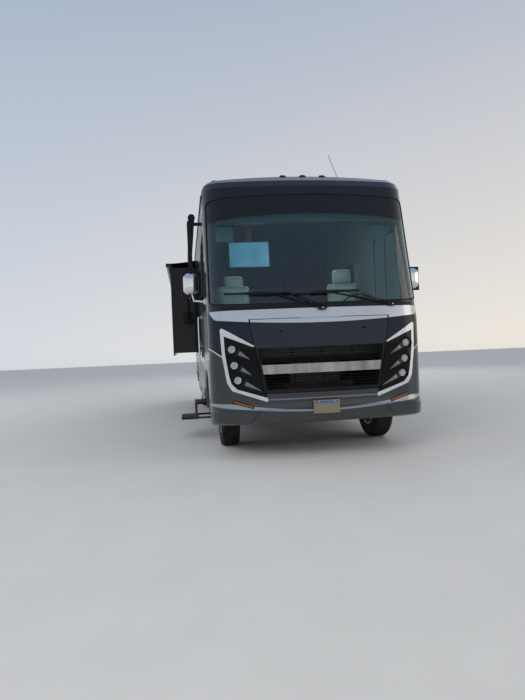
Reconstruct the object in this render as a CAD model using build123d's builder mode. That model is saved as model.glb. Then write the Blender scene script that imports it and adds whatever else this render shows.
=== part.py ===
"""Class A motorhome: a long coach body on a ladder chassis, parked level with both slide-outs extended.

Row frame: origin on the ground under the middle of the body, +Z up, the front faces -Y and the driver
sits on the +X side. Sizes are in millimetres.
"""

import os
from math import asin, atan2, cos, degrees, hypot, pi, radians, sin, sqrt

from build123d import *

os.makedirs("parts", exist_ok=True)

# Overall body
LENGTH = 9370
WIDTH = 2550
ROOF_TOP = 3400
HALF = WIDTH / 2
FRONT = -LENGTH / 2
REAR = LENGTH / 2
LEFT, RIGHT = 1, -1
SEAT_GAP = 0.3
DOOR_GAP = 6
PIN_GAP = 0.05
MARGIN = 50

# Curves of the body seen from above and from ahead
FACE_RADIUS = 6000
FACE_CORNER = 300
CROWN_RADIUS = 13800
ROOF_CORNER = 160
REAR_CORNER = 120

# Stations along the body
CAP_BACK = FRONT + 760
FORM_BACK = FRONT + 1500
REAR_WALL = REAR - 110
REAR_CAP_FRONT = REAR_WALL - 190
FRONT_AXLE_Y = FRONT + 1329
WHEELBASE = 5790
REAR_AXLE_Y = FRONT_AXLE_Y + WHEELBASE

# Walls
WALL = 40
ROOF_WALL = 50
CAP_WALL = 25
MASK_WALL = 12
BUMPER_WALL = 12
GLASS = 8
WALL_TOP = 3190
SKIRT_LOW = 450
REAR_SKIRT_LOW = 620
FLOOR_TOP = 1150
FLOOR_THICK = 60
FLOOR_FRONT = FRONT + 450
FLOOR_LOW = FLOOR_TOP - FLOOR_THICK

# Front panels: (height, setback of the front face on the centre line)
BUMPER_SECTIONS = [(405, 70), (430, 20), (550, 0), (582, 30), (640, 36), (650, 40)]
MASK_SECTIONS = [(650, 40), (1270, 30), (1540, 35), (1709, 68)]
CAP_SECTIONS = [(1709, 68), (1760, 80), (3215, 446), (3300, 520), (3420, 740)]

# Windshield seen from the side: (distance behind the bumper, height)
SCREEN_OUTLINE = [(-200, 1721), (358, 1803), (644, 3044), (420, 3109), (-200, 3289)]
SCREEN_CORNER = 70

# Hood hatch seen from ahead, and what it holds
HOOD_TOP, HOOD_LOW = 1594, 757
HOOD_TOP_HALF, HOOD_LOW_HALF = 822, 674
HOOD_GAP = 8
HOOD_CORNER_ACROSS, HOOD_CORNER_DOWN = 14, 70
HOOD_PANEL = 16
HOOD_HINGE_RADIUS = 6
HOOD_HINGE_HALF = 250
GRILLE_TOP, GRILLE_LOW = 1268, 792
GRILLE_BORDER = 28
GRILLE_INSET = 9
GRILLE_DEPTH = 10
GRILLE_BLADE = 9
GRILLE_PITCH = 34
GRILLE_SIDE = 14
GRILLE_POST = 12
GRILLE_POSTS = (-1, -0.5, 0, 0.5, 1)
BAR_TOP, BAR_LOW = 1076, 971
BAR_PROUD, BAR_IN = 8, 2
MASK_REACH = 400

# Lamps: (distance from the centre line, height)
LAMPS = [(1029, 1267), (1007, 1084), (972, 913)]
LAMP_RING = 73
LAMP_LENS = 42
LAMP_DEPTH = 70
LAMP_PROUD, LENS_SUNK = 6, 12

# Light trim round each lamp pod seen from ahead: outer and inner edge
TRIM_OUTER = [(776, 1298), (1128, 1510), (1152, 1496), (1138, 1184), (1093, 885), (1040, 795), (645, 657)]
TRIM_INNER = [(645, 703), (985, 812), (1046, 880), (1068, 965), (1104, 1211), (1112, 1420), (786, 1284)]
TRIM_PROUD = 5

# Signals under the trims: corners seen from ahead, and the sections (height, setback) that they follow
SIGNAL = [(1048, 693), (1022, 650), (796, 588), (822, 624)]
SIGNAL_SECTIONS = [(560, 12), (582, 30), (640, 36), (650, 40), (720, 39)]

# Marker lamps: (across, distance behind the bumper), and their size
MARKERS = [(-1100, 800), (-251, 724), (0, 722), (251, 724), (1100, 800)]
MARKER_WIDTH, MARKER_DEPTH, MARKER_HEIGHT = 95, 38, 26
MARKER_SUNK = 12
REAR_MARKERS = [-1050, -250, 0, 250, 1050]
REAR_MARKER_Z = 3180
TAIL_LAMP_X, TAIL_LAMP_Z = 1060, 1150
TAIL_LAMP_WIDTH, TAIL_LAMP_HEIGHT, TAIL_LAMP_CORNER = 150, 420, 30
TAIL_LAMP_SUNK, TAIL_LAMP_PROUD = 12, 14

# Wheels and tyres
TYRE_RADIUS = 470
TYRE_WIDTH = 236
RIM_RADIUS = 286
RIM_FLANGE = 303
RIM_WIDTH = 200
ARCH_RADIUS = 560
ARCH_LINER = 12
FRONT_TRACK_HALF = 1012
KINGPIN_X = 860
STEER_ARM = 200
DUAL_OUTER_X = 1092
DUAL_INNER_X = 784
SPINDLE_RADIUS = 35
REAR_SPINDLE_RADIUS = 45
RIM_THICK = 12
FLANGE = 8
BEAD_IN = 30
WALL_RISE = 55
TYRE_SHOULDER = 26
HAND_HOLES = 8
HAND_HOLE, HAND_HOLE_CIRCLE = 24, 214
LUG_RADIUS, LUG_LENGTH = 17, 24
DRUM_RADIUS, DRUM_START = 195, 690
LUG_CIRCLE = 143
HUB_NOSE, HUB_RADIUS = 112, 95
FRONT_PLATE, REAR_PLATE, DISC_THICK = 82, 12, 16
LUGS = 8

# Ladder frame
RAIL_HALF = 432
RAIL_TOP, RAIL_LOW = 850, 620
RAIL_FLANGE = 75
RAIL_PLATE = 8
RAIL_START = 330
RAIL_REAR_GAP = 60
CROSS_MEMBERS = [360, 2250, 3700, 5150, 6300, 7900, 8950]
CROSS_WIDTH, CROSS_HEIGHT = 70, 110
OUTRIGGERS = [(2700, 60), (4490, 60), (6460, 60), (7740, 60)]
RISERS = [1000, 1900, 2900, 3900, 4900, 5900, 6900, 7900, 8900]
RISER_LENGTH = 60
SHAFT_RADIUS = 50
JACKS = [2360, 8025]
JACK_X = 360
JACK_FOOT, JACK_PAD, JACK_PAD_RADIUS = 330, 16, 110
JACK_BARREL_LOW, JACK_BARREL, JACK_ROD = 470, 48, 30
HITCH_OUTER, HITCH_INNER, HITCH_Z = 64, 51, 560
HITCH_REACH, HITCH_PROUD = 500, 60
HITCH_PIN_BACK, HITCH_PIN_RADIUS = 45, 8
HITCH_BEAM, HITCH_BEAM_BACK = 80, 300

# Front axle, knuckles and tie rod
BEAM_WIDTH, BEAM_HEIGHT = 80, 84
BEAM_LOW = 330
BEAM_DROP_X, BEAM_RISE_X = 600, 760
EYE_RADIUS, EYE_HEIGHT = 44, 110
KINGPIN_RADIUS = 18
EAR = 30
WEB_THICK = 26
SPINDLE_REACH = 85
ARM_WIDTH = 40
TIE_EYE, TIE_PIN, TIE_PIN_DROP = 24, 9, 30
TIE_ROD_RADIUS, TIE_EYE_THICK = 13, 30

# Rear axle
AXLE_TUBE, AXLE_TUBE_END = 62, 650
REAR_SPINDLE_REACH = 90
DIFF_RADIUS = 165
DIFF_NOSE, DIFF_NOSE_RADIUS = 300, 80

# Leaf springs: (axle, height of the pack's top at the axle, height at its ends, half span)
LEAVES, LEAF_THICK, LEAF_STEP = 3, 15, 0.2
SPRING_PACK = LEAVES * LEAF_THICK + 1 + SEAT_GAP
SPRINGS = [
    (FRONT_AXLE_Y, BEAM_LOW + BEAM_HEIGHT + SPRING_PACK, 560, 700),
    (REAR_AXLE_Y, TYRE_RADIUS + AXLE_TUBE + SPRING_PACK, 602, 820),
]
SPRING_X, SPRING_WIDTH = 396, 70
HANGER_HALF = 30

# Engine, gearbox, tank and exhaust; the engine's half face is (across, height) seen from ahead
ENGINE_FRONT, ENGINE_LENGTH = 470, 720
ENGINE_HALF_FACE = [(0, 520), (190, 520), (190, 640), (310, 860), (310, 1080), (0, 1080)]
ENGINE_MOUNT_X, ENGINE_MOUNT_Z = 180, 700
GEARBOX_LENGTH, GEARBOX_RADIUS = 780, 150
SHAFT_Z = 640
SHAFT_GAP = 2.2
TANK_FRONT, TANK_BACK = 8095, 8750
TANK_LEFT, TANK_RIGHT = 190, -425
TANK_LOW, TANK_TOP, TANK_CORNER, TANK_EDGE = 400, 606, 60, 30
STRAP, TANK_STRAP_IN = 60, 200
# Exhaust pipe: (distance behind the bumper, height) along its run beside the driveshaft
PIPE_X = 250
PIPE_ROUTE = [(1500, 600), (6500, 600), (6900, 650), (7400, 650), (7750, 540), (9200, 540)]
PIPE_RADIUS, PIPE_BEND = 34, 200
SILENCER_FRONT, SILENCER_BACK, SILENCER_RADIUS = 4000, 4900, 90
PIPE_STRAP = 24

# Slide-outs, one on each side, and the fabric over them
SLIDE_FRONT, SLIDE_BACK = FRONT + 4500, FRONT + 8200
SLIDE_LOW, SLIDE_TOP = 1250, 2850
SLIDE_OUTER = 1770
SLIDE_INNER = 1000
SLIDE_WALL = 35
SLIDE_FLANGE = 45
SLIDE_GAP = 10
SLIDE_CORNER = 9
FLANGE_THICK = 30
RUNNER_IN, RUNNER_LENGTH = 400, 180
BRACKET = 24
FABRIC, FABRIC_IN, ROLLER_CLEAR = 3, 10, 0.5
TOPPER_RADIUS = 32
TOPPER_X = 1818
TOPPER_Z = 2900
TOPPER_RAIL_Z = 2985

# Entry door on the right side
DOOR_FRONT, DOOR_BACK = FRONT + 1975, FRONT + 2635
DOOR_LOW, DOOR_TOP = 706, 2660
BARREL = 5
LATCH_IN, LATCH_Z = 70, 1240
LATCH_LENGTH, LATCH_HEIGHT, LATCH_CORNER, LATCH_PROUD = 70, 110, 12, 14

# Windows: (name, sides, front, back, low, top, corner radius), distances behind the bumper
WINDOWS = [
    ("cab", (LEFT, RIGHT), 900, 1790, 1780, 2760, 70),
    ("dinette", (LEFT,), 2450, 3650, 1850, 2600, 60),
    ("galley", (RIGHT,), 3150, 4050, 1950, 2600, 60),
    ("bedroom", (LEFT, RIGHT), 8430, 8930, 1900, 2550, 60),
]
# Windows of the slide-outs and the door: (front, back, low, top), distances behind the bumper
SLIDE_WINDOWS = [(5050, 6250, 1900, 2550), (6750, 7750, 1900, 2550)]
DOOR_WINDOW = (2110, 2500, 1850, 2500)
WINDOW_CORNER = 60
WINDOW_RECESS = 5

# Baggage doors: (name, side, front, back, low, top), distances behind the bumper
BAY_DOORS = [
    ("bay_door_left_front", LEFT, 2600, 4450, 500, 980),
    ("bay_door_left_middle", LEFT, 4550, 6400, 500, 980),
    ("bay_door_left_rear", LEFT, 7850, 8950, 660, 980),
    ("bay_door_right_front", RIGHT, 2900, 4450, 500, 980),
    ("bay_door_right_middle", RIGHT, 4550, 6400, 500, 980),
    ("bay_door_right_rear", RIGHT, 7850, 8950, 660, 980),
]
BAY_DOOR_THICK, BARREL_IN, BAY_LATCH_UP = 30, 20, 60
BAY_INNER_X = 520
BAY_SHEET = 14
BAY_OVERHANG = 40
WELL_IN = 15
HANGER = 60

# Entry steps: side links hang the level treads from a bracket under the stepwell
STEP_FRONT, STEP_BACK = FRONT + 2030, FRONT + 2580
STEP_PIVOT_OUTER = (-1000, 615)
STEP_PIVOT_INNER = (-870, 615)
STEP_REACH = (-218, -104)
STEP_PIN = 9
STEP_LINK_WIDTH = 34
STEP_PLATE = 8
STEP_LUG = 40
LINK_CLEAR = 2
FRAME_IN, STEP_BAR = 14, 28
UPPER_TREAD = (-1435, -1190, 511)
LOWER_TREAD = (-1643, -1385, 312)
TREAD_THICK = 32
WELL_LOW = 700
WELL_FLOOR = 722
WELL_RISER_X = (-950, -700)
WELL_MIDDLE = 936

# Mirrors: distances from the centre line, heights and depth
MIRROR_IN, MIRROR_OUT = 1330, 1540
MIRROR_LOW, MIRROR_TOP = 1962, 2250
MIRROR_FRONT, MIRROR_DEPTH = 810, 130
MIRROR_CORNER, MIRROR_ROUND = 62, 50
MIRROR_FOOT_Y, MIRROR_FOOT_Z = 830, 1885
MIRROR_BASE, MIRROR_ELBOW, MIRROR_ARM = 22, 60, 14

# Wipers: (pivot, rods' end, blade's ends) as places seen from ahead
WIPERS = [
    ((23, 1704), (-520, 1890), (-1083, 1905), (-316, 1884)),
    ((878, 1728), (120, 1888), (-284, 1872), (500, 1902)),
]
BLADE_PROUD, BLADE_HEIGHT = 14, 20
ROD_PROUD, ROD_RADIUS, ROD_SPREAD = 30, 5, 60
BOSS_RADIUS, BOSS_CAP = 18, 8

# Patio awning; the arm's outline is (distance from the centre line, height) seen from ahead
AWNING_X, AWNING_Z, AWNING_RADIUS = 1392, 3100, 42
AWNING_FRONT, AWNING_BACK, AWNING_CAP, AWNING_RIM = 1570, 8520, 22, 6
ARM_IN, ARM_DEPTH = 6, 50
ARM_OUTLINE = [(1400, 1950), (1457, 1960), (1457, 3040), (1420, 3090), (1372, 3090), (1400, 3040)]
ARM_BRACKETS = [(1960, 2010), (3000, 3036)]

# Roof equipment: (distance behind the bumper, length, width, height, corner radius)
ROOF_UNITS = [
    (2350, 380, 400, 90, 40),
    (3500, 980, 700, 250, 110),
    (5350, 380, 400, 90, 40),
    (7000, 980, 700, 250, 110),
    (8350, 380, 400, 90, 40),
]
UNIT_TAPER = 12
AERIAL_BASE, AERIAL_FOOT = (480, FRONT + 800), 22
AERIAL_LEAN, AERIAL_TIP, AERIAL_RADIUS = -112, 3700, 3

# Rear ladder
LADDER_X, LADDER_HALF = -760, 190
LADDER_TUBE, LADDER_FOOT, LADDER_RUNG = 13, 10, 11.5
LADDER_LOW, LADDER_HOOK, LADDER_OVER, LADDER_BEND = 760, 70, 230, 55
LADDER_FEET = [820, 1600, 2400, 3120]
LADDER_RUNGS = 8

# Cab interior: the dashboard's outline is (distance behind the bumper, height) seen from the side
DASH_HALF = 1120
DASH_OUTLINE = [(455, 1150), (455, 1660), (760, 1700), (940, 1600), (950, 1440), (700, 1330), (600, 1150)]
DRIVER_X = 740
STEERING_Y, STEERING_Z, STEERING_TILT = 1010, 1800, 35
STEERING_RADIUS, STEERING_GRIP = 215, 16
COLUMN_LENGTH, COLUMN_RADIUS = 320, 34
# Seats: (across, height of the headrest), and their cushions: (front, back, low, top, width)
SEATS = [(-845, 2310), (DRIVER_X, 2370)]
SEAT_ROUND = 35
SEAT_BLOCKS = [
    (1215, 1720, 1510, 1650, 530),
    (1640, 1790, 1560, 2180, 500),
    (1670, 1780, 2120, 2370, 300),
]
SEAT_BASE_Y, SEAT_BASE_WIDTH, SEAT_BASE_TAPER = 1450, 360, 6
CABINET_HALF, CABINET_FRONT, CABINET_BACK, CABINET_LOW = 1180, 800, 1250, 2930
# Screen panel: (right edge, left edge, low, top)
SCREEN_PANEL = (-865, -261, 2460, 2840)
SCREEN_PANEL_Y, SCREEN_THICK = 2000, 45


def bow(half, crown, corner, inset):
    """Half of a bowed face with a rounded corner, as (across, back) pairs."""
    reach = half - corner
    turn = asin(reach / (crown - corner))
    corner_back = crown - (crown - corner) * cos(turn)
    large, small = crown - inset, corner - inset
    halfway = (turn + pi / 2) / 2
    return [
        (0, inset),
        (large * sin(turn / 2), crown - large * cos(turn / 2)),
        (large * sin(turn), crown - large * cos(turn)),
        (reach + small * sin(halfway), corner_back - small * cos(halfway)),
        (reach + small, corner_back),
    ]


def face_depth(across):
    """How far the front face falls back at a distance from the centre line."""
    reach = HALF - FACE_CORNER
    turn = asin(reach / (FACE_RADIUS - FACE_CORNER))
    if abs(across) <= FACE_RADIUS * sin(turn):
        return FACE_RADIUS - sqrt(FACE_RADIUS**2 - across**2)
    corner_back = FACE_RADIUS - (FACE_RADIUS - FACE_CORNER) * cos(turn)
    return corner_back - sqrt(FACE_CORNER**2 - (abs(across) - reach) ** 2)


def setback(sections, height):
    """Setback of the front face on the centre line at a height."""
    for (low, at_low), (high, at_high) in zip(sections, sections[1:]):
        if low <= height <= high:
            return at_low + (at_high - at_low) * (height - low) / (high - low)
    raise ValueError("height outside the sections")


def plan_face(height, setback_here, inset):
    """Level section of the front end: bowed face, rounded corners, straight sides."""
    points = [(x, FRONT + setback_here + y) for x, y in bow(HALF, FACE_RADIUS, FACE_CORNER, inset)]
    with BuildSketch(Plane.XY.offset(height)) as face:
        with BuildLine():
            ThreePointArc(*points[0:3])
            ThreePointArc(*points[2:5])
            Polyline(points[4], (points[4][0], FORM_BACK), (0, FORM_BACK))
            mirror(about=Plane.YZ)
        make_face()
    return face.sketch


def roof_face(inset, low, station):
    """Section across the body: crowned roof, rounded corners, upright sides."""
    points = [(x, ROOF_TOP - z) for x, z in bow(HALF, CROWN_RADIUS, ROOF_CORNER, inset)]
    with BuildSketch(Plane.XZ.offset(-station)) as face:
        with BuildLine():
            ThreePointArc(*points[0:3])
            ThreePointArc(*points[2:5])
            Polyline(points[4], (points[4][0], low), (0, low))
            mirror(about=Plane.YZ)
        make_face()
    return face.sketch


def above_roof(inset, length):
    """What lies over the crowned roof and outside its rounded corners, from the front end back."""
    points = [(x, ROOF_TOP - z) for x, z in bow(HALF, CROWN_RADIUS, ROOF_CORNER, inset)]
    outside = HALF + MARGIN
    with BuildPart() as space:
        with BuildSketch(Plane.XZ.offset(-(FRONT - MARGIN))):
            with BuildLine():
                ThreePointArc(*points[0:3])
                ThreePointArc(*points[2:5])
                over = ROOF_TOP + MARGIN
                Polyline(points[4], (outside, points[4][1]), (outside, over), (0, over))
                mirror(about=Plane.YZ)
            make_face()
        extrude(amount=-length)
    return space.part


def front_form(sections, inset, back):
    """Solid front end between two heights, set in from the outer skin."""
    with BuildPart() as form:
        loft([plan_face(height, at, inset) for height, at in sections], ruled=True)
        add(box_between(
            (-HALF - MARGIN, back, 0), (HALF + MARGIN, FORM_BACK + MARGIN, ROOF_TOP + MARGIN)
        ), mode=Mode.SUBTRACT)
        if sections[-1][0] > ROOF_TOP - ROOF_CORNER:
            add(above_roof(inset, FORM_BACK - FRONT), mode=Mode.SUBTRACT)
    return form.part


def open_ended(sections):
    """The same sections carried on below, and above where they stop short of the roof."""
    rows = [(sections[0][0] - MARGIN, sections[0][1])] + list(sections)
    if sections[-1][0] < WALL_TOP:
        rows.append((sections[-1][0] + MARGIN, sections[-1][1]))
    return rows


def front_skin(sections, outer, inner, back=CAP_BACK):
    """Open shell of a front panel between two insets."""
    with BuildPart() as skin:
        add(front_form(sections, outer, back))
        add(front_form(open_ended(sections), inner, back + MARGIN), mode=Mode.SUBTRACT)
    return skin.part


def front_prism(points, depth=CAP_BACK - FRONT + 100):
    """Outline seen from ahead, carried back through the front end."""
    with BuildPart() as prism:
        with BuildSketch(Plane.XZ.offset(-(FRONT - 2 * MARGIN))):
            Polygon(*points, align=None)
        extrude(amount=-depth)
    return prism.part


def both_sides(points):
    """The same outline on the right and on the left of the centre line."""
    return [[(side * x, z) for x, z in points] for side in (RIGHT, LEFT)]


def tube_between(start, end, radius):
    """Straight round bar between two points."""
    with BuildPart() as bar:
        with BuildSketch(Plane(start, z_dir=Vector(*end) - Vector(*start))):
            Circle(radius)
        extrude(amount=(Vector(*end) - Vector(*start)).length)
    return bar.part


def box_between(low, high):
    """Upright block between two corners."""
    with BuildPart() as block:
        with Locations(tuple((a + b) / 2 for a, b in zip(low, high))):
            Box(*(b - a for a, b in zip(low, high)))
    return block.part


def save(builder, name):
    """Label a finished piece and write it."""
    builder.part.label = name
    export_step(builder.part, f"parts/{name}.step")


SCREEN_POINTS = [(FRONT + y, z) for y, z in SCREEN_OUTLINE]


def screen_prism(clearance):
    """Windshield outline seen from the side, carried across the body."""
    with BuildPart() as prism:
        with BuildSketch(Plane.YZ) as outline:
            Polygon(*SCREEN_POINTS, align=None)
            fillet(outline.vertices().sort_by(Axis.X)[2:], SCREEN_CORNER)
            if clearance:
                offset(amount=-clearance, mode=Mode.REPLACE)
        extrude(amount=HALF + MARGIN, both=True)
    return prism.part


HOOD_SLOPE = (HOOD_TOP_HALF - HOOD_LOW_HALF) / (HOOD_TOP - HOOD_LOW)
HOOD_AXIS_Y = FRONT + setback(MASK_SECTIONS, HOOD_TOP) - 1
HOOD_AXIS_Z = HOOD_TOP + 1


def hood_half(height):
    """Half width of the hood hatch at a height."""
    return HOOD_LOW_HALF + HOOD_SLOPE * (height - HOOD_LOW)


HOOD_CORNER_Z = HOOD_TOP - HOOD_CORNER_DOWN
HOOD_OUTLINE = [
    (-HOOD_TOP_HALF + HOOD_CORNER_ACROSS, HOOD_TOP),
    (HOOD_TOP_HALF - HOOD_CORNER_ACROSS, HOOD_TOP),
    (hood_half(HOOD_CORNER_Z), HOOD_CORNER_Z),
    (HOOD_LOW_HALF, HOOD_LOW),
    (-HOOD_LOW_HALF, HOOD_LOW),
    (-hood_half(HOOD_CORNER_Z), HOOD_CORNER_Z),
]


def hood_band(low, top, border):
    """Trapezoid inside the hood's outline between two heights."""
    return [
        (-hood_half(top) + border, top),
        (hood_half(top) - border, top),
        (hood_half(low) - border, low),
        (-hood_half(low) + border, low),
    ]


# Front cap over the windshield, with the pillars beside it
with BuildPart() as front_cap:
    add(front_skin(CAP_SECTIONS, 0, CAP_WALL))
    add(screen_prism(0), mode=Mode.SUBTRACT)
save(front_cap, "front_cap")

with BuildPart() as windshield:
    add(front_skin(CAP_SECTIONS, WINDOW_RECESS, WINDOW_RECESS + GLASS))
    add(screen_prism(SEAT_GAP), mode=Mode.INTERSECT)
save(windshield, "windshield")

# Nose panel with the openings for the hood hatch and the lamps
with BuildPart() as front_mask:
    add(front_skin(MASK_SECTIONS, 0, MASK_WALL))
    add(front_prism(
        [
            (-HOOD_TOP_HALF - HOOD_GAP, HOOD_AXIS_Z + HOOD_HINGE_RADIUS + SEAT_GAP),
            (HOOD_TOP_HALF + HOOD_GAP, HOOD_AXIS_Z + HOOD_HINGE_RADIUS + SEAT_GAP),
            (HOOD_LOW_HALF + HOOD_GAP, HOOD_LOW - HOOD_GAP),
            (-HOOD_LOW_HALF - HOOD_GAP, HOOD_LOW - HOOD_GAP),
        ],
        MASK_REACH,
    ), mode=Mode.SUBTRACT)
    for side in (RIGHT, LEFT):
        for x, z in LAMPS:
            with BuildSketch(Plane.XZ.offset(-(FRONT - 2 * MARGIN))):
                with Locations((side * x, z)):
                    Circle(LAMP_RING + SEAT_GAP)
            extrude(amount=-(MASK_REACH + 2 * MARGIN), mode=Mode.SUBTRACT)
save(front_mask, "front_mask")

# Bumper: a stepped shell that wraps back to the wheel arches, with the signals let in
with BuildPart() as bumper:
    add(front_skin(BUMPER_SECTIONS, 0, BUMPER_WALL))
save(bumper, "bumper")

# Hood hatch: painted panel above, open frame below for the grille
with BuildPart() as hood:
    add(front_skin(MASK_SECTIONS, 0, HOOD_PANEL))
    add(front_prism(HOOD_OUTLINE, MASK_REACH), mode=Mode.INTERSECT)
    add(front_prism(hood_band(GRILLE_LOW, GRILLE_TOP, GRILLE_BORDER), MASK_REACH), mode=Mode.SUBTRACT)
    add(tube_between(
        (-HOOD_HINGE_HALF, HOOD_AXIS_Y, HOOD_AXIS_Z),
        (HOOD_HINGE_HALF, HOOD_AXIS_Y, HOOD_AXIS_Z),
        HOOD_HINGE_RADIUS,
    ))
save(hood, "hood")

# Grille: level blades between two uprights, with the bright bar across the middle
with BuildPart() as grille:
    add(front_skin(MASK_SECTIONS, GRILLE_INSET, GRILLE_INSET + GRILLE_DEPTH))
    grille_outline = hood_band(GRILLE_LOW, GRILLE_TOP, GRILLE_BORDER + SEAT_GAP)
    add(front_prism(grille_outline, MASK_REACH), mode=Mode.INTERSECT)
    with BuildSketch(Plane.XZ.offset(-(FRONT - MARGIN))):
        for step in range(int((GRILLE_TOP - GRILLE_LOW) / GRILLE_PITCH)):
            slot_low = GRILLE_LOW + GRILLE_BLADE + step * GRILLE_PITCH
            slot_top = slot_low + GRILLE_PITCH - GRILLE_BLADE
            reach = hood_half(slot_low) - GRILLE_BORDER - GRILLE_SIDE
            for start, end in zip(GRILLE_POSTS, GRILLE_POSTS[1:]):
                with Locations((0, (slot_low + slot_top) / 2)):
                    left_edge, right_edge = start * reach + GRILLE_POST / 2, end * reach - GRILLE_POST / 2
                    with Locations(((left_edge + right_edge) / 2, 0)):
                        Rectangle(right_edge - left_edge, slot_top - slot_low)
    extrude(amount=-MASK_REACH, mode=Mode.SUBTRACT)
with BuildPart() as grille_bar:
    add(front_skin(MASK_SECTIONS, -BAR_PROUD, GRILLE_INSET + GRILLE_DEPTH / 2))
    add(front_prism(hood_band(BAR_LOW, BAR_TOP, GRILLE_BORDER + BAR_IN), MASK_REACH), mode=Mode.INTERSECT)
with BuildPart() as grille_whole:
    add(grille.part)
    add(grille_bar.part)
save(grille_whole, "grille")

# Lamps: a ring with a domed lens in it
with BuildPart() as headlamps:
    for side in (RIGHT, LEFT):
        for x, z in LAMPS:
            face_y = FRONT + setback(MASK_SECTIONS, z) + face_depth(x)
            with BuildSketch(Plane.XZ.offset(-(face_y - LAMP_PROUD))):
                with Locations((side * x, z)):
                    Circle(LAMP_RING)
                    Circle(LAMP_LENS, mode=Mode.SUBTRACT)
            extrude(amount=-(LAMP_DEPTH + LAMP_PROUD))
            with BuildSketch(Plane.XZ.offset(-(face_y + LENS_SUNK))):
                with Locations((side * x, z)):
                    Circle(LAMP_LENS)
            extrude(amount=-(LAMP_DEPTH - LENS_SUNK))
save(headlamps, "headlamps")

# Light trims round the lamp pods, laid on the nose panel
with BuildPart() as lamp_trims:
    for points in both_sides(TRIM_OUTER + TRIM_INNER):
        with BuildPart() as trim_piece:
            add(front_skin(MASK_SECTIONS, -TRIM_PROUD, -SEAT_GAP))
            add(front_prism(points, MASK_REACH + 2 * MARGIN), mode=Mode.INTERSECT)
        add(trim_piece.part)
save(lamp_trims, "lamp_trims")

# Signals in the bumper and marker lamps along the roof, all amber, and the red lamps at the rear
with BuildPart() as amber_lamps:
    for points in both_sides(SIGNAL):
        with BuildPart() as signal:
            add(front_skin(SIGNAL_SECTIONS, -2, -SEAT_GAP))
            add(front_prism(points, MASK_REACH + 2 * MARGIN), mode=Mode.INTERSECT)
        add(signal.part)
    for x, distance in MARKERS:
        drop = x * x / (2 * CROWN_RADIUS)
        with BuildSketch(Plane.XY.offset(ROOF_TOP - drop - MARKER_SUNK)):
            with Locations((x, FRONT + distance)):
                SlotOverall(MARKER_WIDTH, MARKER_DEPTH)
        extrude(amount=MARKER_HEIGHT + MARKER_SUNK)
    marker_space = FRONT + MARKERS[2][1] - MARKER_WIDTH
    marker_floor = roof_face(-SEAT_GAP, ROOF_TOP / 2, marker_space)
    extrude(marker_floor, amount=-(FORM_BACK - marker_space), mode=Mode.SUBTRACT)
save(amber_lamps, "amber_lamps")

# Side walls: one panel a side, cut for windows, doors, the slide-out and the wheel arches
BOTTOM_LINE = [
    (CAP_BACK, SKIRT_LOW),
    (REAR_AXLE_Y, SKIRT_LOW),
    (REAR_AXLE_Y + ARCH_RADIUS + 40, SKIRT_LOW + 90),
    (REAR_CAP_FRONT, REAR_SKIRT_LOW),
]


def side_wall(side):
    """Upright side panel with its openings."""
    with BuildPart() as wall:
        with BuildSketch(Plane.YZ.offset(side * HALF)):
            Polygon(*BOTTOM_LINE, (REAR_CAP_FRONT, WALL_TOP), (CAP_BACK, WALL_TOP), align=None)
            for axle_y in (FRONT_AXLE_Y, REAR_AXLE_Y):
                with Locations((axle_y, TYRE_RADIUS)):
                    Circle(ARCH_RADIUS, mode=Mode.SUBTRACT)
                with Locations((axle_y, TYRE_RADIUS / 2)):
                    Rectangle(2 * ARCH_RADIUS, TYRE_RADIUS, mode=Mode.SUBTRACT)
            for _, sides, front, back, low, top, corner in WINDOWS:
                if side in sides:
                    with Locations((FRONT + (front + back) / 2, (low + top) / 2)):
                        RectangleRounded(back - front, top - low, corner, mode=Mode.SUBTRACT)
            with Locations(((SLIDE_FRONT + SLIDE_BACK) / 2, (SLIDE_LOW + SLIDE_TOP) / 2)):
                RectangleRounded(
                    SLIDE_BACK - SLIDE_FRONT + 2 * SLIDE_GAP,
                    SLIDE_TOP - SLIDE_LOW + 2 * SLIDE_GAP,
                    SLIDE_CORNER,
                    mode=Mode.SUBTRACT,
                )
            for _, door_side, front, back, low, top in BAY_DOORS:
                if side == door_side:
                    hole_low, hole_top = low - DOOR_GAP, top + BARREL + SEAT_GAP
                    with Locations((FRONT + (front + back) / 2, (hole_low + hole_top) / 2)):
                        Rectangle(back - front + 2 * DOOR_GAP, hole_top - hole_low, mode=Mode.SUBTRACT)
            if side == RIGHT:
                hole_front, hole_back = DOOR_FRONT - BARREL - SEAT_GAP, DOOR_BACK + DOOR_GAP
                hole_top = DOOR_TOP + DOOR_GAP
                with Locations(((hole_front + hole_back) / 2, hole_top / 2)):
                    Rectangle(hole_back - hole_front, hole_top, mode=Mode.SUBTRACT)
        extrude(amount=-side * WALL)
    return wall


with BuildPart() as side_walls:
    add(side_wall(LEFT).part)
    add(side_wall(RIGHT).part)
save(side_walls, "side_walls")

with BuildPart() as side_glass:
    for _, sides, front, back, low, top, corner in WINDOWS:
        for side in sides:
            with BuildSketch(Plane.YZ.offset(side * (HALF - WINDOW_RECESS))):
                with Locations((FRONT + (front + back) / 2, (low + top) / 2)):
                    RectangleRounded(back - front - 2 * SEAT_GAP, top - low - 2 * SEAT_GAP, corner)
            extrude(amount=-side * GLASS)
save(side_glass, "side_glass")

# Roof panel between the caps
with BuildPart() as roof:
    roof_length = REAR_CAP_FRONT - CAP_BACK
    extrude(roof_face(0, WALL_TOP, CAP_BACK), amount=-roof_length)
    extrude(roof_face(ROOF_WALL, WALL_TOP - MARGIN, CAP_BACK), amount=-roof_length, mode=Mode.SUBTRACT)
save(roof, "roof")

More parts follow.
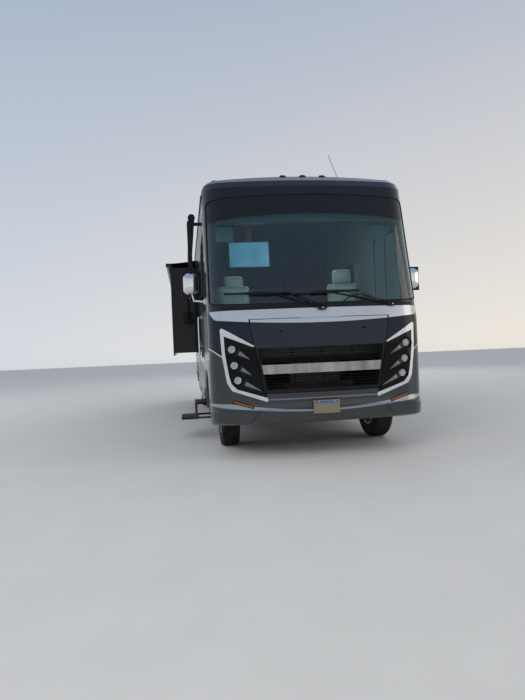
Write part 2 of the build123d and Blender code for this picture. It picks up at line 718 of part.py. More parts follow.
# Rear cap: rounded corners and a plain back wall
def rear_plan(inset):
    """Level section of the rear cap."""
    across, back, radius = HALF - inset, REAR_WALL - inset, REAR_CORNER - inset
    with BuildSketch(Plane.XY.offset(REAR_SKIRT_LOW - (MARGIN if inset else 0))) as face:
        with BuildLine():
            Polyline((0, REAR_CAP_FRONT), (across, REAR_CAP_FRONT), (across, back - radius))
            RadiusArc((across, back - radius), (across - radius, back), -radius)
            Line((across - radius, back), (0, back))
            mirror(about=Plane.YZ)
        make_face()
    return face.sketch


def rear_form(inset):
    """Solid rear cap, set in from the outer skin."""
    with BuildPart() as form:
        extrude(rear_plan(inset), amount=ROOF_TOP)
        extrude(roof_face(inset, 0, REAR_CAP_FRONT), amount=-(REAR - REAR_CAP_FRONT), mode=Mode.INTERSECT)
    return form.part


with BuildPart() as rear_cap:
    add(rear_form(0))
    add(rear_form(WALL), mode=Mode.SUBTRACT)
    with BuildSketch(Plane.XZ.offset(-REAR_WALL)):
        for side in (RIGHT, LEFT):
            with Locations((side * TAIL_LAMP_X, TAIL_LAMP_Z)):
                RectangleRounded(
                    TAIL_LAMP_WIDTH + 2 * SEAT_GAP, TAIL_LAMP_HEIGHT + 2 * SEAT_GAP, TAIL_LAMP_CORNER
                )
    extrude(amount=TAIL_LAMP_SUNK, mode=Mode.SUBTRACT)
save(rear_cap, "rear_cap")

with BuildPart() as red_lamps:
    with BuildSketch(Plane.XZ.offset(-(REAR_WALL - TAIL_LAMP_SUNK + SEAT_GAP))):
        for side in (RIGHT, LEFT):
            with Locations((side * TAIL_LAMP_X, TAIL_LAMP_Z)):
                RectangleRounded(TAIL_LAMP_WIDTH, TAIL_LAMP_HEIGHT, TAIL_LAMP_CORNER)
    extrude(amount=-(TAIL_LAMP_SUNK + TAIL_LAMP_PROUD))
    for x in REAR_MARKERS:
        with BuildSketch(Plane.XZ.offset(-(REAR_WALL + SEAT_GAP))):
            with Locations((x, REAR_MARKER_Z)):
                SlotOverall(MARKER_WIDTH, MARKER_DEPTH)
        extrude(amount=-MARKER_HEIGHT)
save(red_lamps, "red_lamps")

# Floor deck with the notch for the stepwell
WELL_FRONT, WELL_BACK = DOOR_FRONT + WELL_IN, DOOR_BACK - WELL_IN
WALL_INNER = HALF - WALL
FLOOR_EDGE = WALL_INNER - SEAT_GAP

with BuildPart() as floor:
    add(box_between((-FLOOR_EDGE, FLOOR_FRONT, FLOOR_LOW), (FLOOR_EDGE, REAR_CAP_FRONT, FLOOR_TOP)))
    tail_half = HALF - REAR_CORNER
    add(box_between((-tail_half, 0, FLOOR_LOW), (tail_half, REAR_WALL - WALL - SEAT_GAP, FLOOR_TOP)))
    add(box_between((-HALF, WELL_FRONT, 0), (WELL_RISER_X[1], WELL_BACK, ROOF_TOP)), mode=Mode.SUBTRACT)
save(floor, "floor")

# Baggage bays: sheet boxes under the floor, open behind their doors
with BuildPart() as baggage_bays:
    for inset, mode in ((0, Mode.ADD), (BAY_SHEET, Mode.SUBTRACT)):
        for _, side, front, back, low, top in BAY_DOORS:
            bay_front, bay_back = FRONT + front - BAY_OVERHANG + inset, FRONT + back + BAY_OVERHANG - inset
            inner = side * (BAY_INNER_X + inset)
            outer = side * (HALF if inset else FLOOR_EDGE)
            add(box_between(
                (min(inner, outer), bay_front, low - BAY_SHEET - DOOR_GAP + inset),
                (max(inner, outer), bay_back, FLOOR_LOW),
            ), mode=mode)
save(baggage_bays, "baggage_bays")

# Wheel housings and the stepwell, hung under the floor, with the brackets and pins of the steps
with BuildPart() as housings:
    for side in (RIGHT, LEFT):
        for axle_y in (FRONT_AXLE_Y, REAR_AXLE_Y):
            with BuildSketch(Plane.YZ.offset(side * BAY_INNER_X)):
                with BuildLine():
                    CenterArc((axle_y, TYRE_RADIUS), ARCH_RADIUS + ARCH_LINER, 0, 180)
                    Line((axle_y - ARCH_RADIUS - ARCH_LINER, TYRE_RADIUS), (axle_y - ARCH_RADIUS, TYRE_RADIUS))
                    CenterArc((axle_y, TYRE_RADIUS), ARCH_RADIUS, 0, 180)
                    Line((axle_y + ARCH_RADIUS, TYRE_RADIUS), (axle_y + ARCH_RADIUS + ARCH_LINER, TYRE_RADIUS))
                make_face()
            extrude(amount=side * (FLOOR_EDGE - BAY_INNER_X))
            hanger_low, hanger_high = sorted((side * BAY_INNER_X, side * (BAY_INNER_X + HANGER)))
            add(box_between(
                (hanger_low, axle_y - HANGER, TYRE_RADIUS + ARCH_RADIUS),
                (hanger_high, axle_y + HANGER, FLOOR_LOW),
            ))
    with BuildSketch(Plane.XZ.offset(-(WELL_FRONT - BAY_SHEET))):
        Polygon(
            (-FLOOR_EDGE, FLOOR_LOW),
            (-FLOOR_EDGE, WELL_LOW),
            (WELL_RISER_X[0] + BAY_SHEET, WELL_LOW),
            (WELL_RISER_X[0] + BAY_SHEET, WELL_MIDDLE - BAY_SHEET),
            (WELL_RISER_X[1] + BAY_SHEET, WELL_MIDDLE - BAY_SHEET),
            (WELL_RISER_X[1] + BAY_SHEET, FLOOR_LOW),
            align=None,
        )
    extrude(amount=-(WELL_BACK - WELL_FRONT + 2 * BAY_SHEET))
    with BuildSketch(Plane.XZ.offset(-WELL_FRONT)):
        Polygon(
            (-HALF, ROOF_TOP),
            (-HALF, WELL_FLOOR),
            (WELL_RISER_X[0], WELL_FLOOR),
            (WELL_RISER_X[0], WELL_MIDDLE),
            (WELL_RISER_X[1], WELL_MIDDLE),
            (WELL_RISER_X[1], ROOF_TOP),
            align=None,
        )
    extrude(amount=-(WELL_BACK - WELL_FRONT), mode=Mode.SUBTRACT)
    for y, pin_start, way in (
        (STEP_FRONT - STEP_PLATE, STEP_FRONT - STEP_PLATE, 1),
        (STEP_BACK, STEP_BACK + STEP_PLATE, -1),
    ):
        add(box_between(
            (STEP_PIVOT_OUTER[0] - STEP_LUG, y, STEP_PIVOT_OUTER[1] - STEP_LUG / 2),
            (STEP_PIVOT_INNER[0] + STEP_LUG, y + STEP_PLATE, WELL_LOW),
        ))
        for x, z in (STEP_PIVOT_OUTER, STEP_PIVOT_INNER):
            pin_end = pin_start + way * 2 * (STEP_PLATE + LINK_CLEAR)
            add(tube_between((x, pin_start, z), (x, pin_end, z), STEP_PIN))
save(housings, "housings")

# Ladder frame: two channel rails, cross members, jacks and the hitch receiver
with BuildPart() as chassis_frame:
    for side in (RIGHT, LEFT):
        with BuildSketch(Plane.XZ.offset(-(FRONT + RAIL_START))):
            with Locations((side * (RAIL_HALF - RAIL_FLANGE / 2), (RAIL_TOP + RAIL_LOW) / 2)):
                Rectangle(RAIL_FLANGE, RAIL_TOP - RAIL_LOW)
                with Locations((-side * RAIL_PLATE, 0)):
                    Rectangle(RAIL_FLANGE, RAIL_TOP - RAIL_LOW - 2 * RAIL_PLATE, mode=Mode.SUBTRACT)
        extrude(amount=-(REAR_WALL - RAIL_REAR_GAP - FRONT - RAIL_START))
    for distance in CROSS_MEMBERS:
        with BuildSketch(Plane.YZ.offset(-(RAIL_HALF - RAIL_PLATE))):
            with Locations((FRONT + distance, RAIL_TOP - RAIL_PLATE - CROSS_HEIGHT / 2)):
                Rectangle(CROSS_WIDTH, CROSS_HEIGHT)
                with Locations((RAIL_PLATE, 0)):
                    Rectangle(CROSS_WIDTH, CROSS_HEIGHT - 2 * RAIL_PLATE, mode=Mode.SUBTRACT)
        extrude(amount=2 * (RAIL_HALF - RAIL_PLATE))
    for side in (RIGHT, LEFT):
        rail_low, rail_high = sorted((side * RAIL_HALF, side * (RAIL_HALF - RAIL_FLANGE)))
        for distance in RISERS:
            add(box_between(
                (rail_low, FRONT + distance, RAIL_TOP), (rail_high, FRONT + distance + RISER_LENGTH, FLOOR_LOW)
            ))
        for distance, reach in OUTRIGGERS:
            outer = RAIL_HALF + reach
            add(box_between(
                (min(side * RAIL_HALF, side * outer), FRONT + distance, RAIL_TOP - CROSS_HEIGHT),
                (max(side * RAIL_HALF, side * outer), FRONT + distance + CROSS_WIDTH, RAIL_TOP),
            ))
        for distance in JACKS:
            with BuildSketch(Plane.XY.offset(JACK_FOOT)):
                with Locations((side * JACK_X, FRONT + distance)):
                    Circle(JACK_PAD_RADIUS)
            extrude(amount=JACK_PAD)
            for radius, low, high in (
                (JACK_ROD, JACK_FOOT, JACK_BARREL_LOW),
                (JACK_BARREL, JACK_BARREL_LOW, RAIL_TOP),
            ):
                with BuildSketch(Plane.XY.offset(low)):
                    with Locations((side * JACK_X, FRONT + distance)):
                        Circle(radius)
                extrude(amount=high - low)
    with BuildSketch(Plane.XZ.offset(-(REAR_WALL - HITCH_REACH))):
        with Locations((0, HITCH_Z)):
            Rectangle(HITCH_OUTER, HITCH_OUTER)
            Rectangle(HITCH_INNER, HITCH_INNER, mode=Mode.SUBTRACT)
    extrude(amount=-(HITCH_REACH + HITCH_PROUD))
    with BuildSketch(Plane.YZ):
        with Locations((REAR_WALL + HITCH_PROUD - HITCH_PIN_BACK, HITCH_Z)):
            Circle(HITCH_PIN_RADIUS)
    extrude(amount=HITCH_OUTER, both=True, mode=Mode.SUBTRACT)
    add(box_between(
        (-RAIL_HALF, REAR_WALL - HITCH_BEAM_BACK - HITCH_BEAM, HITCH_Z + HITCH_OUTER / 2),
        (RAIL_HALF, REAR_WALL - HITCH_BEAM_BACK, RAIL_LOW),
    ))
save(chassis_frame, "chassis_frame")

# Front axle: dropped I-beam with an eye at each end for the kingpin
with BuildPart() as front_axle:
    with BuildSketch(Plane.XZ.offset(-(FRONT_AXLE_Y - BEAM_WIDTH / 2))):
        with BuildLine():
            Polyline(
                (0, BEAM_LOW), (BEAM_DROP_X, BEAM_LOW), (BEAM_RISE_X, TYRE_RADIUS - BEAM_HEIGHT / 2),
                (KINGPIN_X, TYRE_RADIUS - BEAM_HEIGHT / 2), (KINGPIN_X, TYRE_RADIUS + BEAM_HEIGHT / 2),
                (BEAM_RISE_X - BEAM_HEIGHT / 3, TYRE_RADIUS + BEAM_HEIGHT / 2),
                (BEAM_DROP_X - BEAM_HEIGHT / 3, BEAM_LOW + BEAM_HEIGHT), (0, BEAM_LOW + BEAM_HEIGHT),
            )
            mirror(about=Plane.YZ)
        make_face()
    extrude(amount=-BEAM_WIDTH)
    for side in (RIGHT, LEFT):
        eye = side * KINGPIN_X
        with BuildSketch(Plane.XY.offset(TYRE_RADIUS - EYE_HEIGHT / 2)):
            with Locations((eye, FRONT_AXLE_Y)):
                Circle(EYE_RADIUS)
        extrude(amount=EYE_HEIGHT)
        with BuildSketch(Plane.XY):
            with Locations((eye, FRONT_AXLE_Y)):
                Circle(KINGPIN_RADIUS + PIN_GAP)
        extrude(amount=2 * TYRE_RADIUS, mode=Mode.SUBTRACT)


def knuckle(side):
    """Steering knuckle: two ears and the kingpin, an outer web, the spindle and the steering arm."""
    eye = side * KINGPIN_X
    ear_low, ear_top = TYRE_RADIUS - EYE_HEIGHT / 2 - SEAT_GAP, TYRE_RADIUS + EYE_HEIGHT / 2 + SEAT_GAP
    web_near, web_far = eye + side * (EYE_RADIUS + 6), eye + side * (EYE_RADIUS + 6 + WEB_THICK)
    with BuildPart() as body:
        for z in (ear_low - EAR, ear_top):
            with BuildSketch(Plane.XY.offset(z)):
                with Locations((eye, FRONT_AXLE_Y)):
                    Circle(EYE_RADIUS)
                with Locations(((eye + web_far) / 2, FRONT_AXLE_Y)):
                    Rectangle(abs(web_far - eye), 2 * EYE_RADIUS)
            extrude(amount=EAR)
        add(box_between(
            (min(web_near, web_far), FRONT_AXLE_Y - EYE_RADIUS, ear_low - EAR),
            (max(web_near, web_far), FRONT_AXLE_Y + EYE_RADIUS, ear_top + EAR),
        ))
        pin_low, pin_top = (eye, FRONT_AXLE_Y, ear_low - EAR), (eye, FRONT_AXLE_Y, ear_top + EAR)
        add(tube_between(pin_low, pin_top, KINGPIN_RADIUS))
        add(tube_between(
            (web_far, FRONT_AXLE_Y, TYRE_RADIUS),
            (side * (FRONT_TRACK_HALF + SPINDLE_REACH), FRONT_AXLE_Y, TYRE_RADIUS),
            SPINDLE_RADIUS,
        ))
        add(box_between(
            (eye - ARM_WIDTH / 2, FRONT_AXLE_Y, ear_low - EAR),
            (eye + ARM_WIDTH / 2, FRONT_AXLE_Y + STEER_ARM, ear_low),
        ))
        with BuildSketch(Plane.XY.offset(ear_low - EAR)):
            with Locations((eye, FRONT_AXLE_Y + STEER_ARM)):
                Circle(TIE_EYE)
        extrude(amount=EAR)
        with BuildSketch(Plane.XY.offset(ear_low - EAR - TIE_PIN_DROP)):
            with Locations((eye, FRONT_AXLE_Y + STEER_ARM)):
                Circle(TIE_PIN)
        extrude(amount=TIE_PIN_DROP)
    return body


for side, name in ((LEFT, "knuckle_left"), (RIGHT, "knuckle_right")):
    save(knuckle(side), name)

TIE_ROD_TOP = TYRE_RADIUS - EYE_HEIGHT / 2 - SEAT_GAP - EAR - SEAT_GAP
with BuildPart() as tie_rod:
    for side in (RIGHT, LEFT):
        with BuildSketch(Plane.XY.offset(TIE_ROD_TOP - TIE_EYE_THICK)):
            with Locations((side * KINGPIN_X, FRONT_AXLE_Y + STEER_ARM)):
                Circle(TIE_EYE)
        extrude(amount=TIE_EYE_THICK)
    add(tube_between(
        (-KINGPIN_X, FRONT_AXLE_Y + STEER_ARM, TIE_ROD_TOP - TIE_EYE_THICK / 2),
        (KINGPIN_X, FRONT_AXLE_Y + STEER_ARM, TIE_ROD_TOP - TIE_EYE_THICK / 2),
        TIE_ROD_RADIUS,
    ))
    with BuildSketch(Plane.XY):
        with Locations(*[(side * KINGPIN_X, FRONT_AXLE_Y + STEER_ARM) for side in (RIGHT, LEFT)]):
            Circle(TIE_PIN + PIN_GAP)
    extrude(amount=TYRE_RADIUS, mode=Mode.SUBTRACT)
save(tie_rod, "tie_rod")

# Rear axle: tube, differential and a spindle at each end
with BuildPart() as rear_axle:
    tube_right, tube_left = (-AXLE_TUBE_END, REAR_AXLE_Y, TYRE_RADIUS), (AXLE_TUBE_END, REAR_AXLE_Y, TYRE_RADIUS)
    add(tube_between(tube_right, tube_left, AXLE_TUBE))
    add(tube_between(
        (-DUAL_OUTER_X - REAR_SPINDLE_REACH, REAR_AXLE_Y, TYRE_RADIUS),
        (DUAL_OUTER_X + REAR_SPINDLE_REACH, REAR_AXLE_Y, TYRE_RADIUS),
        REAR_SPINDLE_RADIUS,
    ))
    with Locations((0, REAR_AXLE_Y, TYRE_RADIUS)):
        Sphere(DIFF_RADIUS)
    add(tube_between(
        (0, REAR_AXLE_Y - DIFF_NOSE, TYRE_RADIUS), (0, REAR_AXLE_Y, TYRE_RADIUS), DIFF_NOSE_RADIUS
    ))

with BuildPart() as axles:
    add(front_axle.part)
    add(rear_axle.part)
save(axles, "axles")


def wheel_plane(axle_y, side):
    """Upright plane through an axle: first direction outboard, second direction up."""
    return Plane(origin=(0, axle_y, TYRE_RADIUS), x_dir=(side, 0, 0), z_dir=(0, -side, 0))


def tyres(side, axle_y, centres):
    """Tyres of one hub: flat tread, rounded shoulders, walls that draw in to the bead."""
    with BuildPart() as rings:
        for centre in centres:
            bead, wall = TYRE_WIDTH / 2 - BEAD_IN, TYRE_WIDTH / 2
            with BuildSketch(wheel_plane(axle_y, side)):
                with BuildLine():
                    for hand in (1, -1):
                        Polyline(
                            (centre, RIM_RADIUS + SEAT_GAP),
                            (centre + hand * bead, RIM_RADIUS + SEAT_GAP),
                            (centre + hand * wall, RIM_RADIUS + WALL_RISE),
                            (centre + hand * wall, TYRE_RADIUS - TYRE_SHOULDER),
                        )
                        RadiusArc(
                            (centre + hand * wall, TYRE_RADIUS - TYRE_SHOULDER),
                            (centre + hand * (wall - TYRE_SHOULDER), TYRE_RADIUS),
                            -hand * TYRE_SHOULDER,
                        )
                        Line((centre + hand * (wall - TYRE_SHOULDER), TYRE_RADIUS), (centre, TYRE_RADIUS))
                make_face()
            revolve(axis=Axis((0, axle_y, TYRE_RADIUS), (1, 0, 0)))
    return rings


def rim_barrel(centre):
    """Half section of a rim's barrel and flanges, as (outboard, radius) pairs."""
    half, inner = RIM_WIDTH / 2, RIM_RADIUS - RIM_THICK
    return [
        (centre - half - FLANGE, inner), (centre + half + FLANGE, inner),
        (centre + half + FLANGE, RIM_FLANGE), (centre + half, RIM_FLANGE),
        (centre + half, RIM_RADIUS), (centre - half, RIM_RADIUS),
        (centre - half, RIM_FLANGE), (centre - half - FLANGE, RIM_FLANGE),
    ]


def wheel(side, axle_y, centres, disc, plate_face):
    """Rim or rims of one hub, with the disc, hand holes and wheel nuts."""
    with BuildPart() as rim:
        for profile in [rim_barrel(centre) for centre in centres] + disc:
            with BuildSketch(wheel_plane(axle_y, side)):
                Polygon(*profile, align=None)
            revolve(axis=Axis((0, axle_y, TYRE_RADIUS), (1, 0, 0)))
        hub_plane = Plane(origin=(0, axle_y, TYRE_RADIUS), x_dir=(0, side, 0), z_dir=(side, 0, 0))
        with BuildSketch(hub_plane.offset(min(centres) - RIM_WIDTH)):
            with PolarLocations(HAND_HOLE_CIRCLE, HAND_HOLES):
                Circle(HAND_HOLE)
        extrude(amount=max(centres) - min(centres) + 2 * RIM_WIDTH, mode=Mode.SUBTRACT)
        with BuildSketch(hub_plane.offset(plate_face)):
            with PolarLocations(LUG_CIRCLE, LUGS, start_angle=180 / LUGS):
                RegularPolygon(LUG_RADIUS, 6)
        extrude(amount=LUG_LENGTH)
    return rim


# Wheel discs with their hubs as half sections: (outboard, radius) pairs
RIM_INNER = RIM_RADIUS - RIM_THICK + 1
FRONT_DISC = [[(FRONT_TRACK_HALF + across, radius) for across, radius in (
    (SPINDLE_REACH + 1, 0),
    (HUB_NOSE, 0),
    (HUB_NOSE, 50),
    (98, 64),
    (FRONT_PLATE, 64),
    (FRONT_PLATE, 165),
    (50, 235),
    (42, RIM_INNER),
    (26, RIM_INNER),
    (34, 230),
    (FRONT_PLATE - DISC_THICK, 160),
    (FRONT_PLATE - DISC_THICK, HUB_RADIUS),
    (-66, HUB_RADIUS),
    (-66, SPINDLE_RADIUS + PIN_GAP),
    (SPINDLE_REACH + 1, SPINDLE_RADIUS + PIN_GAP),
)]]
MEET = (DUAL_OUTER_X + DUAL_INNER_X) / 2
REAR_DISC = [[
    (DUAL_OUTER_X + REAR_SPINDLE_REACH + 1, 0),
    (DUAL_OUTER_X + HUB_NOSE, 0),
    (DUAL_OUTER_X + HUB_NOSE, 70),
    (DUAL_OUTER_X + 60, 92),
    (MEET + REAR_PLATE, 105),
    (MEET + REAR_PLATE, 165),
    (MEET + 72, RIM_INNER),
    (MEET + 58, RIM_INNER),
    (MEET, 172),
    (MEET - 58, RIM_INNER),
    (MEET - 72, RIM_INNER),
    (MEET - REAR_PLATE, 165),
    (MEET - REAR_PLATE, 105),
    (MEET - 80, 105),
    (MEET - 80, DRUM_RADIUS),
    (DRUM_START, DRUM_RADIUS),
    (DRUM_START, REAR_SPINDLE_RADIUS + PIN_GAP),
    (DUAL_OUTER_X + REAR_SPINDLE_REACH + 1, REAR_SPINDLE_RADIUS + PIN_GAP),
]]
# Hubs: (place, side, axle, tyre centres, disc, face that the nuts sit on)
HUBS = [
    ("front_left", LEFT, FRONT_AXLE_Y, (FRONT_TRACK_HALF,), FRONT_DISC, FRONT_TRACK_HALF + FRONT_PLATE),
    ("front_right", RIGHT, FRONT_AXLE_Y, (FRONT_TRACK_HALF,), FRONT_DISC, FRONT_TRACK_HALF + FRONT_PLATE),
    ("rear_left", LEFT, REAR_AXLE_Y, (DUAL_INNER_X, DUAL_OUTER_X), REAR_DISC, MEET + REAR_PLATE),
    ("rear_right", RIGHT, REAR_AXLE_Y, (DUAL_INNER_X, DUAL_OUTER_X), REAR_DISC, MEET + REAR_PLATE),
]
for place, side, axle_y, centres, disc, plate_face in HUBS:
    save(tyres(side, axle_y, centres), f"tyre_{place}")
    save(wheel(side, axle_y, centres, disc, plate_face), f"rim_{place}")

# Leaf springs under the rails, three leaves a pack
with BuildPart() as leaf_springs:
    for axle_y, seat_z, end_z, half_span in SPRINGS:
        for side in (RIGHT, LEFT):
            with BuildSketch(Plane.YZ.offset(side * SPRING_X - SPRING_WIDTH / 2)):
                for leaf in range(LEAVES):
                    reach = half_span * (1 - leaf * LEAF_STEP)
                    end = seat_z + (end_z - seat_z) * (reach / half_span) ** 2
                    drop = -leaf * LEAF_THICK
                    with BuildLine():
                        ThreePointArc(
                            (axle_y - reach, end + drop), (axle_y, seat_z + drop), (axle_y + reach, end + drop)
                        )
                        Line((axle_y + reach, end + drop), (axle_y + reach, end + drop - LEAF_THICK - 1))
                        ThreePointArc(
                            (axle_y - reach, end + drop - LEAF_THICK - 1),
                            (axle_y, seat_z + drop - LEAF_THICK - 1),
                            (axle_y + reach, end + drop - LEAF_THICK - 1),
                        )
                        Line((axle_y - reach, end + drop), (axle_y - reach, end + drop - LEAF_THICK - 1))
                    make_face()
            extrude(amount=SPRING_WIDTH)
            for hand in (-1, 1):
                x, y = side * SPRING_X, axle_y + hand * half_span
                add(box_between(
                    (x - HANGER_HALF, y - HANGER_HALF, end_z - LEAF_THICK),
                    (x + HANGER_HALF, y + HANGER_HALF, RAIL_LOW),
                ))
save(leaf_springs, "leaf_springs")

# Engine and gearbox as plain blocks, with the driveshaft to the rear axle
with BuildPart() as driveline:
    with BuildSketch(Plane.XZ.offset(-(FRONT + ENGINE_FRONT))):
        Polygon(*ENGINE_HALF_FACE, align=None)
        mirror(about=Plane.YZ)
    extrude(amount=-ENGINE_LENGTH)
    gearbox_front = (0, FRONT + ENGINE_FRONT + ENGINE_LENGTH, SHAFT_Z)
    gearbox_back = (0, FRONT + ENGINE_FRONT + ENGINE_LENGTH + GEARBOX_LENGTH, SHAFT_Z)
    add(tube_between(gearbox_front, gearbox_back, GEARBOX_RADIUS))
    add(tube_between(gearbox_back, (0, REAR_AXLE_Y - DIFF_NOSE - SHAFT_GAP, TYRE_RADIUS), SHAFT_RADIUS))
    for side in (RIGHT, LEFT):
        low_x, high_x = sorted((side * ENGINE_MOUNT_X, side * (RAIL_HALF - RAIL_PLATE - SEAT_GAP)))
        add(box_between(
            (low_x, FRONT + ENGINE_FRONT + ENGINE_LENGTH / 2, ENGINE_MOUNT_Z),
            (high_x, FRONT + ENGINE_FRONT + ENGINE_LENGTH / 2 + HANGER, ENGINE_MOUNT_Z + HANGER),
        ))
save(driveline, "driveline")

# Fuel tank between the rails at the rear, on two straps
with BuildPart() as fuel_tank:
    with BuildSketch(Plane.XY.offset(TANK_LOW)):
        with Locations(((TANK_LEFT + TANK_RIGHT) / 2, FRONT + (TANK_FRONT + TANK_BACK) / 2)):
            RectangleRounded(TANK_LEFT - TANK_RIGHT, TANK_BACK - TANK_FRONT, TANK_CORNER)
    extrude(amount=TANK_TOP - TANK_LOW)
    fillet(fuel_tank.faces().sort_by(Axis.Z)[0].edges(), TANK_EDGE)
    for distance in (TANK_FRONT + TANK_STRAP_IN, TANK_BACK - TANK_STRAP_IN - STRAP):
        add(box_between(
            (-RAIL_HALF, FRONT + distance, TANK_TOP - 1), (RAIL_HALF, FRONT + distance + STRAP, RAIL_LOW)
        ))
save(fuel_tank, "fuel_tank")

# Exhaust beside the driveshaft: pipe, silencer and tailpipe, hung from the cross members
with BuildPart() as exhaust:
    with BuildLine() as pipe_path:
        FilletPolyline(*[(PIPE_X, FRONT + y, z) for y, z in PIPE_ROUTE], radius=PIPE_BEND)
    with BuildSketch(Plane(pipe_path.line @ 0, z_dir=pipe_path.line % 0)):
        Circle(PIPE_RADIUS)
    sweep()
    pipe_z = PIPE_ROUTE[0][1]
    strap_top = RAIL_TOP - RAIL_PLATE - CROSS_HEIGHT - SEAT_GAP
    add(tube_between(
        (PIPE_X, FRONT + SILENCER_FRONT, pipe_z), (PIPE_X, FRONT + SILENCER_BACK, pipe_z), SILENCER_RADIUS
    ))
    for distance in CROSS_MEMBERS[1:-2]:
        add(box_between(
            (PIPE_X - PIPE_STRAP / 4, FRONT + distance, pipe_z),
            (PIPE_X + PIPE_STRAP / 4, FRONT + distance + PIPE_STRAP, strap_top),
        ))
save(exhaust, "exhaust")


def slide_out(side):
    """Slide-out room: open towards the coach, with a flanged outer wall, windows, runners and roller."""
    middle = ((SLIDE_FRONT + SLIDE_BACK) / 2, (SLIDE_LOW + SLIDE_TOP) / 2)
    length, height = SLIDE_BACK - SLIDE_FRONT, SLIDE_TOP - SLIDE_LOW
    with BuildPart() as room:
        with BuildSketch(Plane.YZ.offset(side * SLIDE_INNER)):
            with Locations(middle):
                Rectangle(length, height)
                Rectangle(length - 2 * SLIDE_WALL, height - 2 * SLIDE_WALL, mode=Mode.SUBTRACT)
        extrude(amount=side * (SLIDE_OUTER - SLIDE_INNER))
        with BuildSketch(Plane.YZ.offset(side * SLIDE_OUTER)):
            with Locations(middle):
                RectangleRounded(length + 2 * SLIDE_FLANGE, height + 2 * SLIDE_FLANGE, SLIDE_CORNER)
            for front, back, low, top in SLIDE_WINDOWS:
                with Locations((FRONT + (front + back) / 2, (low + top) / 2)):
                    RectangleRounded(back - front, top - low, WINDOW_CORNER, mode=Mode.SUBTRACT)
        extrude(amount=-side * FLANGE_THICK)
        for y in (SLIDE_FRONT + RUNNER_IN, (SLIDE_FRONT + SLIDE_BACK) / 2, SLIDE_BACK - RUNNER_IN):
            low_x, high_x = sorted((side * SLIDE_INNER, side * (SLIDE_INNER + RUNNER_LENGTH)))
            add(box_between((low_x, y - HANGER, FLOOR_TOP + SEAT_GAP), (high_x, y + HANGER, SLIDE_LOW)))
        add(tube_between(
            (side * TOPPER_X, SLIDE_FRONT, TOPPER_Z), (side * TOPPER_X, SLIDE_BACK, TOPPER_Z), TOPPER_RADIUS
        ))
        for y in (SLIDE_FRONT - BRACKET, SLIDE_BACK):
            low_x, high_x = sorted((side * (SLIDE_OUTER - FLANGE_THICK), side * (TOPPER_X + TOPPER_RADIUS)))
            add(box_between(
                (low_x, y, TOPPER_Z - TOPPER_RADIUS), (high_x, y + BRACKET, TOPPER_Z + TOPPER_RADIUS)
            ))
    return room


def slide_panes(side):
    """Window glass of a slide-out."""
    with BuildPart() as panes:
        with BuildSketch(Plane.YZ.offset(side * (SLIDE_OUTER - WINDOW_RECESS))):
            for front, back, low, top in SLIDE_WINDOWS:
                with Locations((FRONT + (front + back) / 2, (low + top) / 2)):
                    RectangleRounded(back - front - 2 * SEAT_GAP, top - low - 2 * SEAT_GAP, WINDOW_CORNER)
        extrude(amount=-side * GLASS)
    return panes


for side, place in ((LEFT, "left"), (RIGHT, "right")):
    save(slide_out(side), f"slide_{place}")
    save(slide_panes(side), f"slide_glass_{place}")

# Fabric from the walls to the rollers over the slide-outs
for side, place in ((LEFT, "left"), (RIGHT, "right")):
    roller_top = TOPPER_Z + TOPPER_RADIUS + ROLLER_CLEAR
    near, far = side * (HALF + SEAT_GAP), side * TOPPER_X
    with BuildPart() as topper:
        with BuildSketch(Plane.XZ.offset(-(SLIDE_FRONT + FABRIC_IN))):
            Polygon(
                (near, TOPPER_RAIL_Z),
                (near, TOPPER_RAIL_Z + FABRIC),
                (far, roller_top + FABRIC),
                (far, roller_top),
                align=None,
            )
        extrude(amount=-(SLIDE_BACK - SLIDE_FRONT - 2 * FABRIC_IN))
    save(topper, f"topper_{place}")

# Entry door, hinged on its front edge
with BuildPart() as entry_door:
    with BuildSketch(Plane.YZ.offset(-HALF)):
        with Locations(((DOOR_FRONT + DOOR_BACK) / 2, (DOOR_LOW + DOOR_TOP) / 2)):
            Rectangle(DOOR_BACK - DOOR_FRONT, DOOR_TOP - DOOR_LOW)
        with Locations((FRONT + (DOOR_WINDOW[0] + DOOR_WINDOW[1]) / 2, (DOOR_WINDOW[2] + DOOR_WINDOW[3]) / 2)):
            RectangleRounded(
                DOOR_WINDOW[1] - DOOR_WINDOW[0],
                DOOR_WINDOW[3] - DOOR_WINDOW[2],
                WINDOW_CORNER,
                mode=Mode.SUBTRACT,
            )
    extrude(amount=WALL)
    add(tube_between((-HALF, DOOR_FRONT, DOOR_LOW), (-HALF, DOOR_FRONT, DOOR_TOP), BARREL))
    with BuildSketch(Plane.YZ.offset(-HALF)):
        with Locations((DOOR_BACK - LATCH_IN, LATCH_Z)):
            RectangleRounded(LATCH_LENGTH, LATCH_HEIGHT, LATCH_CORNER)
    extrude(amount=-LATCH_PROUD)
save(entry_door, "entry_door")

with BuildPart() as entry_door_glass:
    with BuildSketch(Plane.YZ.offset(-HALF + WINDOW_RECESS)):
        with Locations((FRONT + (DOOR_WINDOW[0] + DOOR_WINDOW[1]) / 2, (DOOR_WINDOW[2] + DOOR_WINDOW[3]) / 2)):
            RectangleRounded(
                DOOR_WINDOW[1] - DOOR_WINDOW[0] - 2 * SEAT_GAP, DOOR_WINDOW[3] - DOOR_WINDOW[2] - 2 * SEAT_GAP,
                WINDOW_CORNER,
            )
    extrude(amount=GLASS)
save(entry_door_glass, "entry_door_glass")

